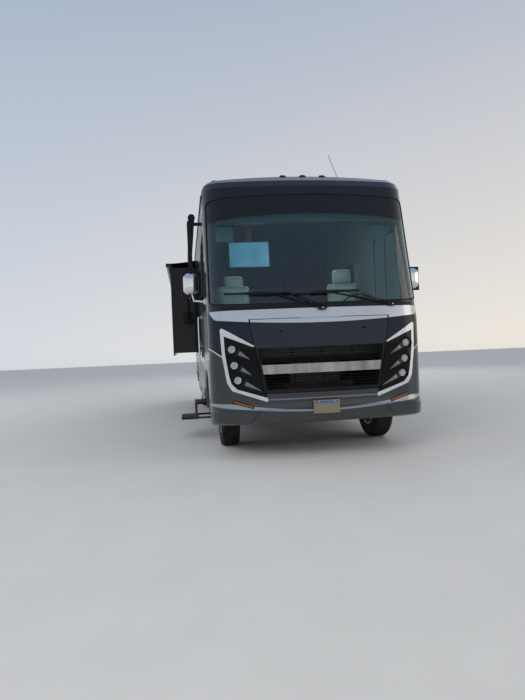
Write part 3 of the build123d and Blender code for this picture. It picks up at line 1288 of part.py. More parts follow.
# Baggage doors, hinged along the top edge
for name, side, front, back, low, top in BAY_DOORS:
    with BuildPart() as bay_door:
        with BuildSketch(Plane.YZ.offset(side * HALF)):
            with Locations((FRONT + (front + back) / 2, (low + top) / 2)):
                Rectangle(back - front, top - low)
        extrude(amount=-side * BAY_DOOR_THICK)
        barrel_front, barrel_back = FRONT + front + BARREL_IN, FRONT + back - BARREL_IN
        add(tube_between((side * HALF, barrel_front, top), (side * HALF, barrel_back, top), BARREL))
        middle, latch_out = FRONT + (front + back) / 2, (back - front) / 3
        with BuildSketch(Plane.YZ.offset(side * HALF)):
            with Locations(*[(middle + hand * latch_out, low + BAY_LATCH_UP) for hand in (-1, 1)]):
                RectangleRounded(LATCH_HEIGHT, LATCH_HEIGHT / 2, LATCH_CORNER)
        extrude(amount=side * LATCH_PROUD / 2)
    save(bay_door, name)


def link_arm(pivot):
    """Pair of step links hung from one pivot line, drawn extended."""
    end = (pivot[0] + STEP_REACH[0], pivot[1] + STEP_REACH[1])
    angle = degrees(atan2(STEP_REACH[1], STEP_REACH[0]))
    with BuildPart() as arms:
        for start in (STEP_FRONT + LINK_CLEAR, STEP_BACK - LINK_CLEAR - STEP_PLATE):
            with BuildSketch(Plane.XZ.offset(-start)):
                with Locations(((pivot[0] + end[0]) / 2, (pivot[1] + end[1]) / 2)):
                    SlotOverall(hypot(*STEP_REACH) + STEP_LINK_WIDTH, STEP_LINK_WIDTH, rotation=angle)
                with Locations(pivot, end):
                    Circle(STEP_PIN + PIN_GAP, mode=Mode.SUBTRACT)
            extrude(amount=-STEP_PLATE)
    return arms


save(link_arm(STEP_PIVOT_OUTER), "step_link_outer")
save(link_arm(STEP_PIVOT_INNER), "step_link_inner")

# Two treads on a pair of square side frames
with BuildPart() as step_treads:
    hinge_x = STEP_PIVOT_INNER[0] + STEP_REACH[0]
    hinge_z = STEP_PIVOT_INNER[1] + STEP_REACH[1]
    for start in (STEP_FRONT + FRAME_IN, STEP_BACK - FRAME_IN - STEP_BAR):
        for low, high in (
            ((UPPER_TREAD[0], hinge_z - STEP_BAR / 2), (hinge_x + STEP_BAR, hinge_z + STEP_BAR / 2)),
            ((LOWER_TREAD[0], LOWER_TREAD[2] - STEP_BAR), (UPPER_TREAD[1], LOWER_TREAD[2])),
            ((UPPER_TREAD[0], LOWER_TREAD[2]), (UPPER_TREAD[0] + STEP_BAR, hinge_z)),
            ((UPPER_TREAD[1] - STEP_BAR, LOWER_TREAD[2]), (UPPER_TREAD[1], hinge_z)),
        ):
            add(box_between((low[0], start, low[1]), (high[0], start + STEP_BAR, high[1])))
    for (outer, inner, top) in ((UPPER_TREAD[0], UPPER_TREAD[1], hinge_z + STEP_BAR / 2), LOWER_TREAD):
        add(box_between((outer, STEP_FRONT + FRAME_IN, top - TREAD_THICK), (inner, STEP_BACK - FRAME_IN, top)))
    for pivot in (STEP_PIVOT_OUTER, STEP_PIVOT_INNER):
        x, z = pivot[0] + STEP_REACH[0], pivot[1] + STEP_REACH[1]
        add(tube_between((x, STEP_FRONT + 1, z), (x, STEP_FRONT + FRAME_IN + 1, z), STEP_PIN))
        add(tube_between((x, STEP_BACK - FRAME_IN - 1, z), (x, STEP_BACK - 1, z), STEP_PIN))
save(step_treads, "step_treads")

# Mirrors on their arms, one beside each cab window
with BuildPart() as mirrors:
    for side in (RIGHT, LEFT):
        with BuildPart() as mirror_head:
            with BuildSketch(Plane.XZ.offset(-(FRONT + MIRROR_FRONT))):
                with Locations((side * (MIRROR_IN + MIRROR_OUT) / 2, (MIRROR_LOW + MIRROR_TOP) / 2)):
                    RectangleRounded(MIRROR_OUT - MIRROR_IN, MIRROR_TOP - MIRROR_LOW, MIRROR_CORNER)
            extrude(amount=-MIRROR_DEPTH)
            fillet(mirror_head.faces().sort_by(Axis.Y)[0].edges(), MIRROR_ROUND)
        add(mirror_head.part)
        foot = (side * (HALF + MIRROR_BASE / 2), FRONT + MIRROR_FOOT_Y, MIRROR_FOOT_Z)
        elbow = (side * (MIRROR_IN + MIRROR_ELBOW), FRONT + MIRROR_FRONT + MIRROR_DEPTH / 2, MIRROR_FOOT_Z)
        head = (elbow[0], elbow[1], MIRROR_LOW + MIRROR_ROUND)
        add(tube_between(foot, elbow, MIRROR_ARM))
        add(tube_between((elbow[0], elbow[1], MIRROR_FOOT_Z - MIRROR_ARM), head, MIRROR_ARM))
        low_x, high_x = sorted((side * (HALF + SEAT_GAP), side * (HALF + MIRROR_BASE)))
        add(box_between(
            (low_x, FRONT + MIRROR_FOOT_Y - MIRROR_BASE * 2, MIRROR_FOOT_Z - MIRROR_BASE * 2),
            (high_x, FRONT + MIRROR_FOOT_Y + MIRROR_BASE * 2, MIRROR_FOOT_Z + MIRROR_BASE * 2),
        ))
save(mirrors, "mirrors")

# Wipers: twin rods from each pivot to a blade that follows the glass
BODY_SECTIONS = MASK_SECTIONS + CAP_SECTIONS[1:]


def skin_y(across, height, proud):
    """Place along the body of a point ahead of the front skin."""
    return FRONT + setback(BODY_SECTIONS, height) + face_depth(across) - proud


with BuildPart() as wipers:
    for pivot, meet, start, end in WIPERS:
        for shift in (-ROD_SPREAD / 2, ROD_SPREAD / 2):
            low = (pivot[0] + shift, skin_y(pivot[0], pivot[1], ROD_PROUD), pivot[1])
            high = (meet[0] + shift / 2, skin_y(meet[0], meet[1], BLADE_PROUD - ROD_RADIUS), meet[1])
            add(tube_between(low, high, ROD_RADIUS))
        face_y = skin_y(pivot[0], pivot[1], 0)
        with BuildSketch(Plane.XZ.offset(-(face_y - ROD_PROUD - BOSS_CAP))):
            with Locations(pivot):
                SlotOverall(ROD_SPREAD + 2 * BOSS_RADIUS, 2 * BOSS_RADIUS)
        extrude(amount=-(ROD_PROUD + BOSS_CAP + MARGIN))
    add(front_form(BODY_SECTIONS, -SEAT_GAP, CAP_BACK), mode=Mode.SUBTRACT)
    for pivot, meet, start, end in WIPERS:
        half = BLADE_HEIGHT / 2
        with BuildPart() as blade:
            add(front_skin(CAP_SECTIONS, -BLADE_PROUD, WINDOW_RECESS - SEAT_GAP))
            add(front_prism([
                (start[0], start[1] - half), (end[0], end[1] - half),
                (end[0], end[1] + half), (start[0], start[1] + half),
            ]), mode=Mode.INTERSECT)
        add(blade.part)
save(wipers, "wipers")

# Patio awning, rolled up along the right side, with an arm at each end
with BuildPart() as awning:
    roller_start, roller_end = FRONT + AWNING_FRONT, FRONT + AWNING_BACK
    add(tube_between((-AWNING_X, roller_start, AWNING_Z), (-AWNING_X, roller_end, AWNING_Z), AWNING_RADIUS))
    for distance, start in (
        (AWNING_FRONT - AWNING_CAP, AWNING_FRONT + ARM_IN),
        (AWNING_BACK, AWNING_BACK - ARM_IN - ARM_DEPTH),
    ):
        cap_y = FRONT + distance
        add(tube_between(
            (-AWNING_X, cap_y, AWNING_Z), (-AWNING_X, cap_y + AWNING_CAP, AWNING_Z), AWNING_RADIUS + AWNING_RIM
        ))
        with BuildSketch(Plane.XZ.offset(-(FRONT + start))):
            Polygon(*[(-x, z) for x, z in ARM_OUTLINE], align=None)
        extrude(amount=-ARM_DEPTH)
        for low, top in ARM_BRACKETS:
            add(box_between(
                (-ARM_OUTLINE[0][0], FRONT + start, low), (-HALF - SEAT_GAP, FRONT + start + ARM_DEPTH, top)
            ))
save(awning, "awning")

# Roof equipment: air conditioners, vents and the whip aerial
with BuildPart() as roof_units:
    for distance, length, width, height, corner in ROOF_UNITS:
        with BuildSketch(Plane.XY.offset(ROOF_TOP - MARKER_SUNK)):
            with Locations((0, FRONT + distance)):
                RectangleRounded(width, length, corner)
        extrude(amount=height + MARKER_SUNK, taper=UNIT_TAPER)
    with BuildSketch(Plane.XY.offset(ROOF_TOP - MARKER_SUNK)):
        with Locations(AERIAL_BASE):
            Circle(AERIAL_FOOT)
    extrude(amount=AERIAL_FOOT)
    add(tube_between(
        (*AERIAL_BASE, ROOF_TOP), (AERIAL_BASE[0] + AERIAL_LEAN, AERIAL_BASE[1], AERIAL_TIP), AERIAL_RADIUS
    ))
    extrude(roof_face(-SEAT_GAP, ROOF_TOP / 2, CAP_BACK), amount=-LENGTH, mode=Mode.SUBTRACT)
save(roof_units, "roof_units")

# Rear ladder with its feet on the cap and hooks over the roof
with BuildPart() as ladder:
    rail_y = REAR - LADDER_TUBE
    for x in (LADDER_X - LADDER_HALF, LADDER_X + LADDER_HALF):
        with BuildLine() as rail_path:
            FilletPolyline(
                (x, rail_y, LADDER_LOW),
                (x, rail_y, ROOF_TOP + LADDER_HOOK),
                (x, REAR_WALL - LADDER_OVER, ROOF_TOP + LADDER_HOOK),
                (x, REAR_WALL - LADDER_OVER, ROOF_TOP - LADDER_HOOK),
                radius=LADDER_BEND,
            )
        with BuildSketch(Plane(rail_path.line @ 0, z_dir=rail_path.line % 0)):
            Circle(LADDER_TUBE)
        sweep()
        for z in LADDER_FEET:
            add(tube_between((x, REAR_WALL + SEAT_GAP, z), (x, rail_y, z), LADDER_FOOT))
    rung_space = (LADDER_FEET[-1] - LADDER_LOW) / LADDER_RUNGS
    for step in range(LADDER_RUNGS):
        z = LADDER_LOW + rung_space * (step + 0.5)
        add(tube_between((LADDER_X - LADDER_HALF, rail_y, z), (LADDER_X + LADDER_HALF, rail_y, z), LADDER_RUNG))
    extrude(roof_face(-SEAT_GAP, ROOF_TOP / 2, CAP_BACK), amount=-(REAR_WALL - CAP_BACK), mode=Mode.SUBTRACT)
save(ladder, "ladder")

# Dashboard with the steering column and wheel
with BuildPart() as dashboard:
    with BuildSketch(Plane.YZ.offset(-DASH_HALF)):
        Polygon(*[(FRONT + y, z) for y, z in DASH_OUTLINE], align=None)
    extrude(amount=2 * DASH_HALF)
    wheel_centre = Vector(DRIVER_X, FRONT + STEERING_Y, STEERING_Z)
    tilt = radians(STEERING_TILT)
    column_way = Vector(0, -sin(tilt), -cos(tilt))
    wheel_place = Plane(wheel_centre, x_dir=(1, 0, 0), z_dir=column_way)
    with BuildSketch(Plane(wheel_centre, x_dir=column_way, z_dir=(-1, 0, 0))):
        with Locations((0, STEERING_RADIUS)):
            Circle(STEERING_GRIP)
    revolve(axis=Axis(wheel_centre, column_way))
    add(tube_between(tuple(wheel_centre), tuple(wheel_centre + column_way * COLUMN_LENGTH), COLUMN_RADIUS))
    with BuildSketch(wheel_place):
        Rectangle(2 * STEERING_RADIUS, 2 * STEERING_GRIP)
        Circle(COLUMN_RADIUS + STEERING_GRIP)
    extrude(amount=STEERING_GRIP)
save(dashboard, "dashboard")

# Cab seats and their pedestals
with BuildPart() as seats:
    for x, head_top in SEATS:
        for low_y, high_y, low_z, top_z, width in SEAT_BLOCKS:
            with BuildPart() as block:
                add(box_between(
                    (x - width / 2, FRONT + low_y, low_z), (x + width / 2, FRONT + high_y, min(top_z, head_top))
                ))
                fillet(block.edges(), SEAT_ROUND)
            add(block.part)
save(seats, "seats")

with BuildPart() as seat_bases:
    for x, _ in SEATS:
        with BuildSketch(Plane.XY.offset(FLOOR_TOP)):
            with Locations((x, FRONT + SEAT_BASE_Y)):
                RectangleRounded(SEAT_BASE_WIDTH, SEAT_BASE_WIDTH, SEAT_ROUND)
        extrude(amount=SEAT_BLOCKS[0][2] - FLOOR_TOP - SEAT_GAP, taper=SEAT_BASE_TAPER)
save(seat_bases, "seat_bases")

# Overhead cabinet across the cab, and the screen on its ceiling arm
with BuildPart() as overhead_cabinet:
    add(box_between(
        (-CABINET_HALF, FRONT + CABINET_FRONT, CABINET_LOW), (CABINET_HALF, FRONT + CABINET_BACK, ROOF_TOP)
    ))
    add(box_between(
        (SCREEN_PANEL[0], FRONT + SCREEN_PANEL_Y, SCREEN_PANEL[2]),
        (SCREEN_PANEL[1], FRONT + SCREEN_PANEL_Y + SCREEN_THICK, SCREEN_PANEL[3]),
    ))
    arm_x = (SCREEN_PANEL[0] + SCREEN_PANEL[1]) / 2
    add(box_between(
        (arm_x - SCREEN_THICK, FRONT + SCREEN_PANEL_Y, SCREEN_PANEL[3]),
        (arm_x + SCREEN_THICK, FRONT + SCREEN_PANEL_Y + SCREEN_THICK, ROOF_TOP),
    ))
    extrude(
        roof_face(ROOF_WALL + SEAT_GAP, ROOF_TOP / 3, CAP_BACK), amount=-LENGTH / 2, mode=Mode.INTERSECT
    )
save(overhead_cabinet, "overhead_cabinet")
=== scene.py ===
"""Looks of the motorhome: a finish for every CAD node, and the pieces that dress the coach.

Everything is in metres in the row frame: +Z up, the front faces -Y, the driver sits on the +X side.
"""

import logging
import math
from dataclasses import dataclass
from enum import Enum
from typing import Any, Callable, Iterable, Optional, Sequence

import bmesh
import bpy
from mathutils import Matrix, Vector


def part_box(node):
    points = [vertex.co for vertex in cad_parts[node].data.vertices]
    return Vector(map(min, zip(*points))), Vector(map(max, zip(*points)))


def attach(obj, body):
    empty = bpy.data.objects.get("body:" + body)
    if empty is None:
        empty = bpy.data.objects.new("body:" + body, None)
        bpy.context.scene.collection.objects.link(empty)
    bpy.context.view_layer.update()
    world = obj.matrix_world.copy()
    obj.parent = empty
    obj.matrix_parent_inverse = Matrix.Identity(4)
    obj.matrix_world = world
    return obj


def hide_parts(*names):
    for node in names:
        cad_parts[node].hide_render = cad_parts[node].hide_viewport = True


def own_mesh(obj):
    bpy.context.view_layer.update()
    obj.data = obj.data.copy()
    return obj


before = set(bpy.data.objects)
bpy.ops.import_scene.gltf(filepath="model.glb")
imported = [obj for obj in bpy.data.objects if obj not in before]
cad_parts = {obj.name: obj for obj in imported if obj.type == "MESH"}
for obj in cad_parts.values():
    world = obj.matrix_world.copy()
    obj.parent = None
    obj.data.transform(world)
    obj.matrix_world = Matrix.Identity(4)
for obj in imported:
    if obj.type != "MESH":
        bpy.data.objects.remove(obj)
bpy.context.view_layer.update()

log = logging.getLogger("motorhome")
Color = tuple[float, float, float]
Point = Sequence[float]
FRONT = -4.685
AXLE_HEIGHT = 0.470
FRONT_AXLE, REAR_AXLE = FRONT + 1.329, FRONT + 7.119
WHEELS = (("front_left", 1, FRONT_AXLE), ("front_right", -1, FRONT_AXLE), ("rear_left", 1, REAR_AXLE),
          ("rear_right", -1, REAR_AXLE))
WIPER_HUBS = ((0.023, 1.704), (0.878, 1.728))
BOW_RADIUS, BOW_HALF = 6.0, 1.026
CORNER_RADIUS, CORNER_ACROSS, CORNER_BACK = 0.3, 0.975, 0.384
NOSE_ROWS = ((0.405, 0.07), (0.43, 0.02), (0.55, 0.0), (0.582, 0.03), (0.64, 0.036), (0.65, 0.04), (1.27, 0.03),
             (1.54, 0.035), (1.709, 0.068), (1.76, 0.08), (3.215, 0.446))
# Bevel limit of one radian, in degrees: only a block's own right-angled edges pass it.
SHARP_ONLY = math.degrees(1.0)


class Surface(Enum):
    """Kinds of surface that a finish can have."""

    PAINT = "gloss paint with fine flake"
    NOSE = "nose paint scheme"
    SIDE = "side paint scheme"
    GRILLE = "black grille with a bright bar"
    METAL = "bright or brushed metal"
    CAST = "cast or forged iron"
    MOULDED = "grained plastic or rubber"
    CLOTH = "woven cloth"
    LEATHER = "grained leather"
    WOOD = "wood veneer"
    GLASS = "clear or tinted glass"


@dataclass(frozen=True)
class Finish:
    """One finish: its surface, colour and the size of its grain.

    Grain is in repeats per metre and relief is the depth of its bump in metres.
    """

    name: str
    slot: str
    surface: Surface
    color: Color
    roughness: float
    metallic: float = 0.0
    coat: float = 0.0
    grain: float = 300.0
    relief: float = 0.0003
    shade: float = 0.12
    dust: float = 0.35
    dust_top: float = 1.5
    second: Optional[Color] = None
    glow: float = 0.0
    specular: float = 0.25


def rgba(color: Color) -> tuple[float, float, float, float]:
    """Return a colour with full alpha."""
    return (*color, 1.0)


class NodeBench:
    """Adds nodes to one node tree and joins them."""

    def __init__(self, tree: bpy.types.NodeTree) -> None:
        """Keep the tree that the nodes go into."""
        self.tree = tree

    def add(self, kind: str, **settings: Any) -> bpy.types.Node:
        """Add a node and set its settings.

        Args:
            kind: the node's type name.
            settings: the node's own settings, by name.

        Returns:
            The new node.
        """
        node = self.tree.nodes.new(kind)
        for name, value in settings.items():
            setattr(node, name, value)
        return node

    def feed(self, socket: bpy.types.NodeSocket, value: Any) -> None:
        """Join a socket to another socket, or set its own value."""
        if isinstance(value, bpy.types.NodeSocket):
            self.tree.links.new(value, socket)
        else:
            socket.default_value = value

    def maths(self, operation: str, first: Any, second: Any = 0.0, third: Any = 0.0) -> bpy.types.NodeSocket:
        """Combine numbers.

        Args:
            operation: the Math node's operation.
            first: a number or socket.
            second: a number or socket.
            third: a number or socket, where the operation has one.

        Returns:
            The result's socket.
        """
        node = self.add("ShaderNodeMath", operation=operation)
        for socket, value in zip(node.inputs, (first, second, third)):
            self.feed(socket, value)
        return node.outputs[0]

    def both(self, *masks: Any) -> bpy.types.NodeSocket:
        """Return the product of several masks."""
        result = masks[0]
        for mask in masks[1:]:
            result = self.maths("MULTIPLY", result, mask)
        return result

    def blend(self, factor: Any, first: Any, second: Any, kind: str = "MIX") -> bpy.types.NodeSocket:
        """Mix two colours.

        Args:
            factor: share of the second colour.
            first: a colour or socket.
            second: a colour or socket.
            kind: how they mix.

        Returns:
            The mixed colour's socket.
        """
        node = self.add("ShaderNodeMix", data_type="RGBA", blend_type=kind)
        for socket, value in zip((node.inputs[0], node.inputs[6], node.inputs[7]), (factor, first, second)):
            self.feed(socket, value)
        return node.outputs[2]

    def tint(self, color: Any, tone: Any) -> bpy.types.NodeSocket:
        """Return a colour multiplied by a tone."""
        return self.blend(1.0, color, tone, "MULTIPLY")

    def without(self, mask: Any) -> bpy.types.NodeSocket:
        """Return the rest of a mask."""
        return self.maths("SUBTRACT", 1.0, mask)

    def away(self, value: Any, middle: Any) -> bpy.types.NodeSocket:
        """Return how far a number is from another, either way."""
        return self.maths("ABSOLUTE", self.maths("SUBTRACT", value, middle))

    def spread(self, value: Any, low: Any, high: Any, to_low: Any = 0.0, to_high: Any = 1.0) -> bpy.types.NodeSocket:
        """Carry a range onto another, held at its ends.

        Args:
            value: the number.
            low: start of its range.
            high: end of its range.
            to_low: what the start becomes.
            to_high: what the end becomes.

        Returns:
            The new number's socket.
        """
        node = self.add("ShaderNodeMapRange")
        for socket, number in zip(node.inputs, (value, low, high, to_low, to_high)):
            self.feed(socket, number)
        return node.outputs[0]

    def above(self, value: Any, edge: Any, soft: float = 0.0012) -> bpy.types.NodeSocket:
        """Return a mask that is 1 where a number is over an edge, with a thin soft border."""
        return self.spread(self.maths("SUBTRACT", value, edge), -soft, soft)

    def below(self, value: Any, edge: Any, soft: float = 0.0012) -> bpy.types.NodeSocket:
        """Return a mask that is 1 where a number is under an edge, with a thin soft border."""
        return self.spread(self.maths("SUBTRACT", value, edge), -soft, soft, 1.0, 0.0)

    def split(self, vector: Any) -> tuple[bpy.types.NodeSocket, ...]:
        """Return a vector's three parts."""
        node = self.add("ShaderNodeSeparateXYZ")
        self.feed(node.inputs[0], vector)
        return tuple(node.outputs)

    def noise(self, vector: Any, scale: Any, detail: float = 3.0, roughness: float = 0.55) -> bpy.types.NodeSocket:
        """Return soft noise from 0 to 1 at a scale in repeats per metre."""
        node = self.add("ShaderNodeTexNoise")
        for name, value in (("Vector", vector), ("Scale", scale), ("Detail", detail), ("Roughness", roughness)):
            self.feed(node.inputs[name], value)
        return node.outputs[0]

    def cells(self, vector: Any, scale: Any, output: str = "Distance", feature: str = "F1") -> bpy.types.NodeSocket:
        """Return a cell pattern at a scale in repeats per metre."""
        node = self.add("ShaderNodeTexVoronoi", feature=feature)
        self.feed(node.inputs["Vector"], vector)
        self.feed(node.inputs["Scale"], scale)
        return node.outputs[output]

    def wave(self, vector: Any, scale: Any, direction: str, distortion: float = 0.0) -> bpy.types.NodeSocket:
        """Return a sine band pattern across one direction."""
        node = self.add("ShaderNodeTexWave", bands_direction=direction)
        self.feed(node.inputs["Vector"], vector)
        self.feed(node.inputs["Scale"], scale)
        self.feed(node.inputs["Distortion"], distortion)
        return node.outputs["Fac"]

    def stretched(self, vector: Any, scale: Point) -> bpy.types.NodeSocket:
        """Return a vector that a Mapping node has stretched."""
        mapping = self.add("ShaderNodeMapping")
        self.feed(mapping.inputs["Vector"], vector)
        mapping.inputs["Scale"].default_value = scale
        return mapping.outputs[0]

    def place(self, scale: Point = (1, 1, 1)) -> bpy.types.NodeSocket:
        """Return the object's coordinates, stretched."""
        return self.stretched(self.add("ShaderNodeTexCoord").outputs["Object"], scale)


NUMBER, TINT, ARROW = "NodeSocketFloat", "NodeSocketColor", "NodeSocketVector"


class Effect:
    """A shader node group with named inputs and outputs, built once and placed in each material."""

    title = "Effect"
    inputs: tuple[tuple[str, str], ...] = (("Place", ARROW),)
    outputs: tuple[tuple[str, str], ...] = (("Height", NUMBER),)

    def tree(self) -> bpy.types.NodeTree:
        """Return the group, built on its first use."""
        known = bpy.data.node_groups.get(self.title)
        if known:
            return known
        group = bpy.data.node_groups.new(self.title, "ShaderNodeTree")
        for name, kind in self.inputs:
            group.interface.new_socket(name=name, in_out="INPUT", socket_type=kind)
        for name, kind in self.outputs:
            group.interface.new_socket(name=name, in_out="OUTPUT", socket_type=kind)
        bench = NodeBench(group)
        given = bench.add("NodeGroupInput").outputs
        result = bench.add("NodeGroupOutput").inputs
        made = self.draw(bench, {name: given[name] for name, _ in self.inputs})
        for name, _ in self.outputs:
            bench.feed(result[name], made[name])
        return group

    def draw(self, bench: NodeBench, given: dict[str, Any]) -> dict[str, Any]:
        """Draw the effect's nodes.

        Args:
            bench: the group's own bench.
            given: the group's inputs by name.

        Returns:
            The outputs by name.
        """
        raise NotImplementedError

    def lay(self, bench: NodeBench, **values: Any) -> dict[str, bpy.types.NodeSocket]:
        """Place the group in a material.

        Args:
            bench: the material's bench.
            values: the inputs' values or sockets, by name.

        Returns:
            The group's outputs by name.
        """
        node = bench.add("ShaderNodeGroup", node_tree=self.tree())
        for name, value in values.items():
            bench.feed(node.inputs[name.replace("_", " ")], value)
        return {name: node.outputs[name] for name, _ in self.outputs}


class PaintFilm(Effect):
    """Gloss paint: fine flake, slow changes of tone, orange peel and polishing marks."""

    title = "Paint film"
    inputs = (("Place", ARROW), ("Color", TINT), ("Flake", NUMBER))
    outputs = (("Color", TINT), ("Roughness", NUMBER), ("Height", NUMBER))

    def draw(self, bench: NodeBench, given: dict[str, Any]) -> dict[str, Any]:
        """Draw the flake, tone, peel and polishing marks."""
        place = given["Place"]
        flake = bench.spread(bench.cells(place, 1400.0, "Color"), 0.0, 1.0, -0.5, 0.5)
        tone = bench.spread(bench.noise(place, 1.3), 0.3, 0.7, -0.06, 0.06)
        change = bench.maths("MULTIPLY_ADD", flake, given["Flake"], tone)
        shift = bench.blend(bench.maths("ADD", change, 0.5), rgba((0.5,) * 3), rgba((1.5,) * 3))
        swirl = bench.noise(place, 38.0, 4.0, 0.7)
        return {
            "Color": bench.tint(given["Color"], shift),
            "Roughness": bench.spread(swirl, 0.3, 0.75, -0.02, 0.05),
            "Height": bench.noise(place, 150.0, 1.0),
        }


class RoadFilm(Effect):
    """Dust and dried splashes that thin out with height."""

    title = "Road film"
    inputs = (("Place", ARROW), ("Low", NUMBER), ("Top", NUMBER), ("Amount", NUMBER))
    outputs = (("Mask", NUMBER),)

    def draw(self, bench: NodeBench, given: dict[str, Any]) -> dict[str, Any]:
        """Draw the height fade, broken up by clouds and speckles."""
        place = given["Place"]
        height = bench.split(place)[2]
        fade = bench.spread(height, given["Low"], given["Top"], 1.0, 0.0)
        fade = bench.maths("POWER", fade, 1.6)
        clouds = bench.spread(bench.noise(place, 3.5, 5.0, 0.65), 0.35, 0.75)
        specks = bench.spread(bench.cells(place, 130.0), 0.06, 0.16, 1.0, 0.0)
        film = bench.maths("MAXIMUM", clouds, bench.maths("MULTIPLY", specks, 0.7))
        return {"Mask": bench.both(fade, film, given["Amount"])}


class Grain(Effect):
    """A surface's own grain, at a scale in repeats per metre."""

    inputs = (("Place", ARROW), ("Scale", NUMBER))
    outputs = (("Height", NUMBER), ("Shade", NUMBER), ("Roughness", NUMBER))


class MouldedGrain(Grain):
    """Fine spark-eroded grain of moulded plastic and rubber."""

    title = "Moulded grain"

    def draw(self, bench: NodeBench, given: dict[str, Any]) -> dict[str, Any]:
        """Draw pebbles with slow clouds of fading."""
        pebbles = bench.cells(given["Place"], given["Scale"], "Distance", "SMOOTH_F1")
        fading = bench.noise(given["Place"], 4.0, 5.0, 0.6)
        return {"Height": pebbles, "Shade": fading, "Roughness": bench.spread(fading, 0.3, 0.7, -0.06, 0.06)}


class BrushedSkin(Grain):
    """Drawn or polished metal: fine lines one way, smears and small pits."""

    title = "Brushed skin"

    def draw(self, bench: NodeBench, given: dict[str, Any]) -> dict[str, Any]:
        """Draw stretched lines under slow smears."""
        lines = bench.noise(given["Place"], given["Scale"], 2.0, 0.8)
        smears = bench.noise(given["Place"], 9.0, 5.0, 0.6)
        return {"Height": lines, "Shade": smears, "Roughness": bench.spread(smears, 0.3, 0.75, -0.04, 0.09)}


class CastSkin(Grain):
    """Rough cast iron with rust that gathers in patches."""

    title = "Cast skin"
    outputs = (("Height", NUMBER), ("Shade", NUMBER), ("Rust", NUMBER))

    def draw(self, bench: NodeBench, given: dict[str, Any]) -> dict[str, Any]:
        """Draw the casting's lumps and the rust patches."""
        lumps = bench.noise(given["Place"], given["Scale"], 5.0, 0.7)
        clouds = bench.noise(given["Place"], 6.0, 6.0, 0.7)
        return {"Height": lumps, "Shade": clouds, "Rust": bench.spread(clouds, 0.5, 0.68)}


class ClothWeave(Grain):
    """Plain weave: threads one way and the other, with slow fading."""

    title = "Cloth weave"

    def draw(self, bench: NodeBench, given: dict[str, Any]) -> dict[str, Any]:
        """Draw two crossing bands of threads and broad stains."""
        threads = bench.maths("MAXIMUM", bench.wave(given["Place"], given["Scale"], "X"),
                              bench.wave(given["Place"], given["Scale"], "Y"))
        stains = bench.noise(given["Place"], 2.5, 6.0, 0.65)
        shade = bench.maths("MULTIPLY_ADD", threads, 0.3, bench.maths("MULTIPLY", stains, 0.8))
        return {"Height": threads, "Shade": shade, "Roughness": bench.spread(stains, 0.3, 0.7, -0.04, 0.06)}


class LeatherGrain(Grain):
    """Leather: small cells between creases, with worn patches."""

    title = "Leather grain"

    def draw(self, bench: NodeBench, given: dict[str, Any]) -> dict[str, Any]:
        """Draw creases round cells and the worn patches."""
        creases = bench.spread(bench.cells(given["Place"], given["Scale"], "Distance", "DISTANCE_TO_EDGE"), 0.0, 0.12)
        worn = bench.noise(given["Place"], 7.0, 5.0, 0.6)
        return {"Height": creases, "Shade": worn, "Roughness": bench.spread(worn, 0.3, 0.7, -0.08, 0.08)}


class WoodFigure(Grain):
    """Wood veneer: long grain with darker lines."""

    title = "Wood figure"

    def draw(self, bench: NodeBench, given: dict[str, Any]) -> dict[str, Any]:
        """Draw the grain lines, bent by slow noise."""
        lines = bench.wave(given["Place"], given["Scale"], "Z", 6.0)
        pores = bench.noise(given["Place"], 220.0, 3.0)
        return {"Height": pores, "Shade": lines, "Roughness": bench.spread(pores, 0.3, 0.7, -0.05, 0.05)}


class Scheme(Effect):
    """Colours laid out by place, with a mask of the metallic ones."""

    outputs = (("Color", TINT), ("Silver", NUMBER))


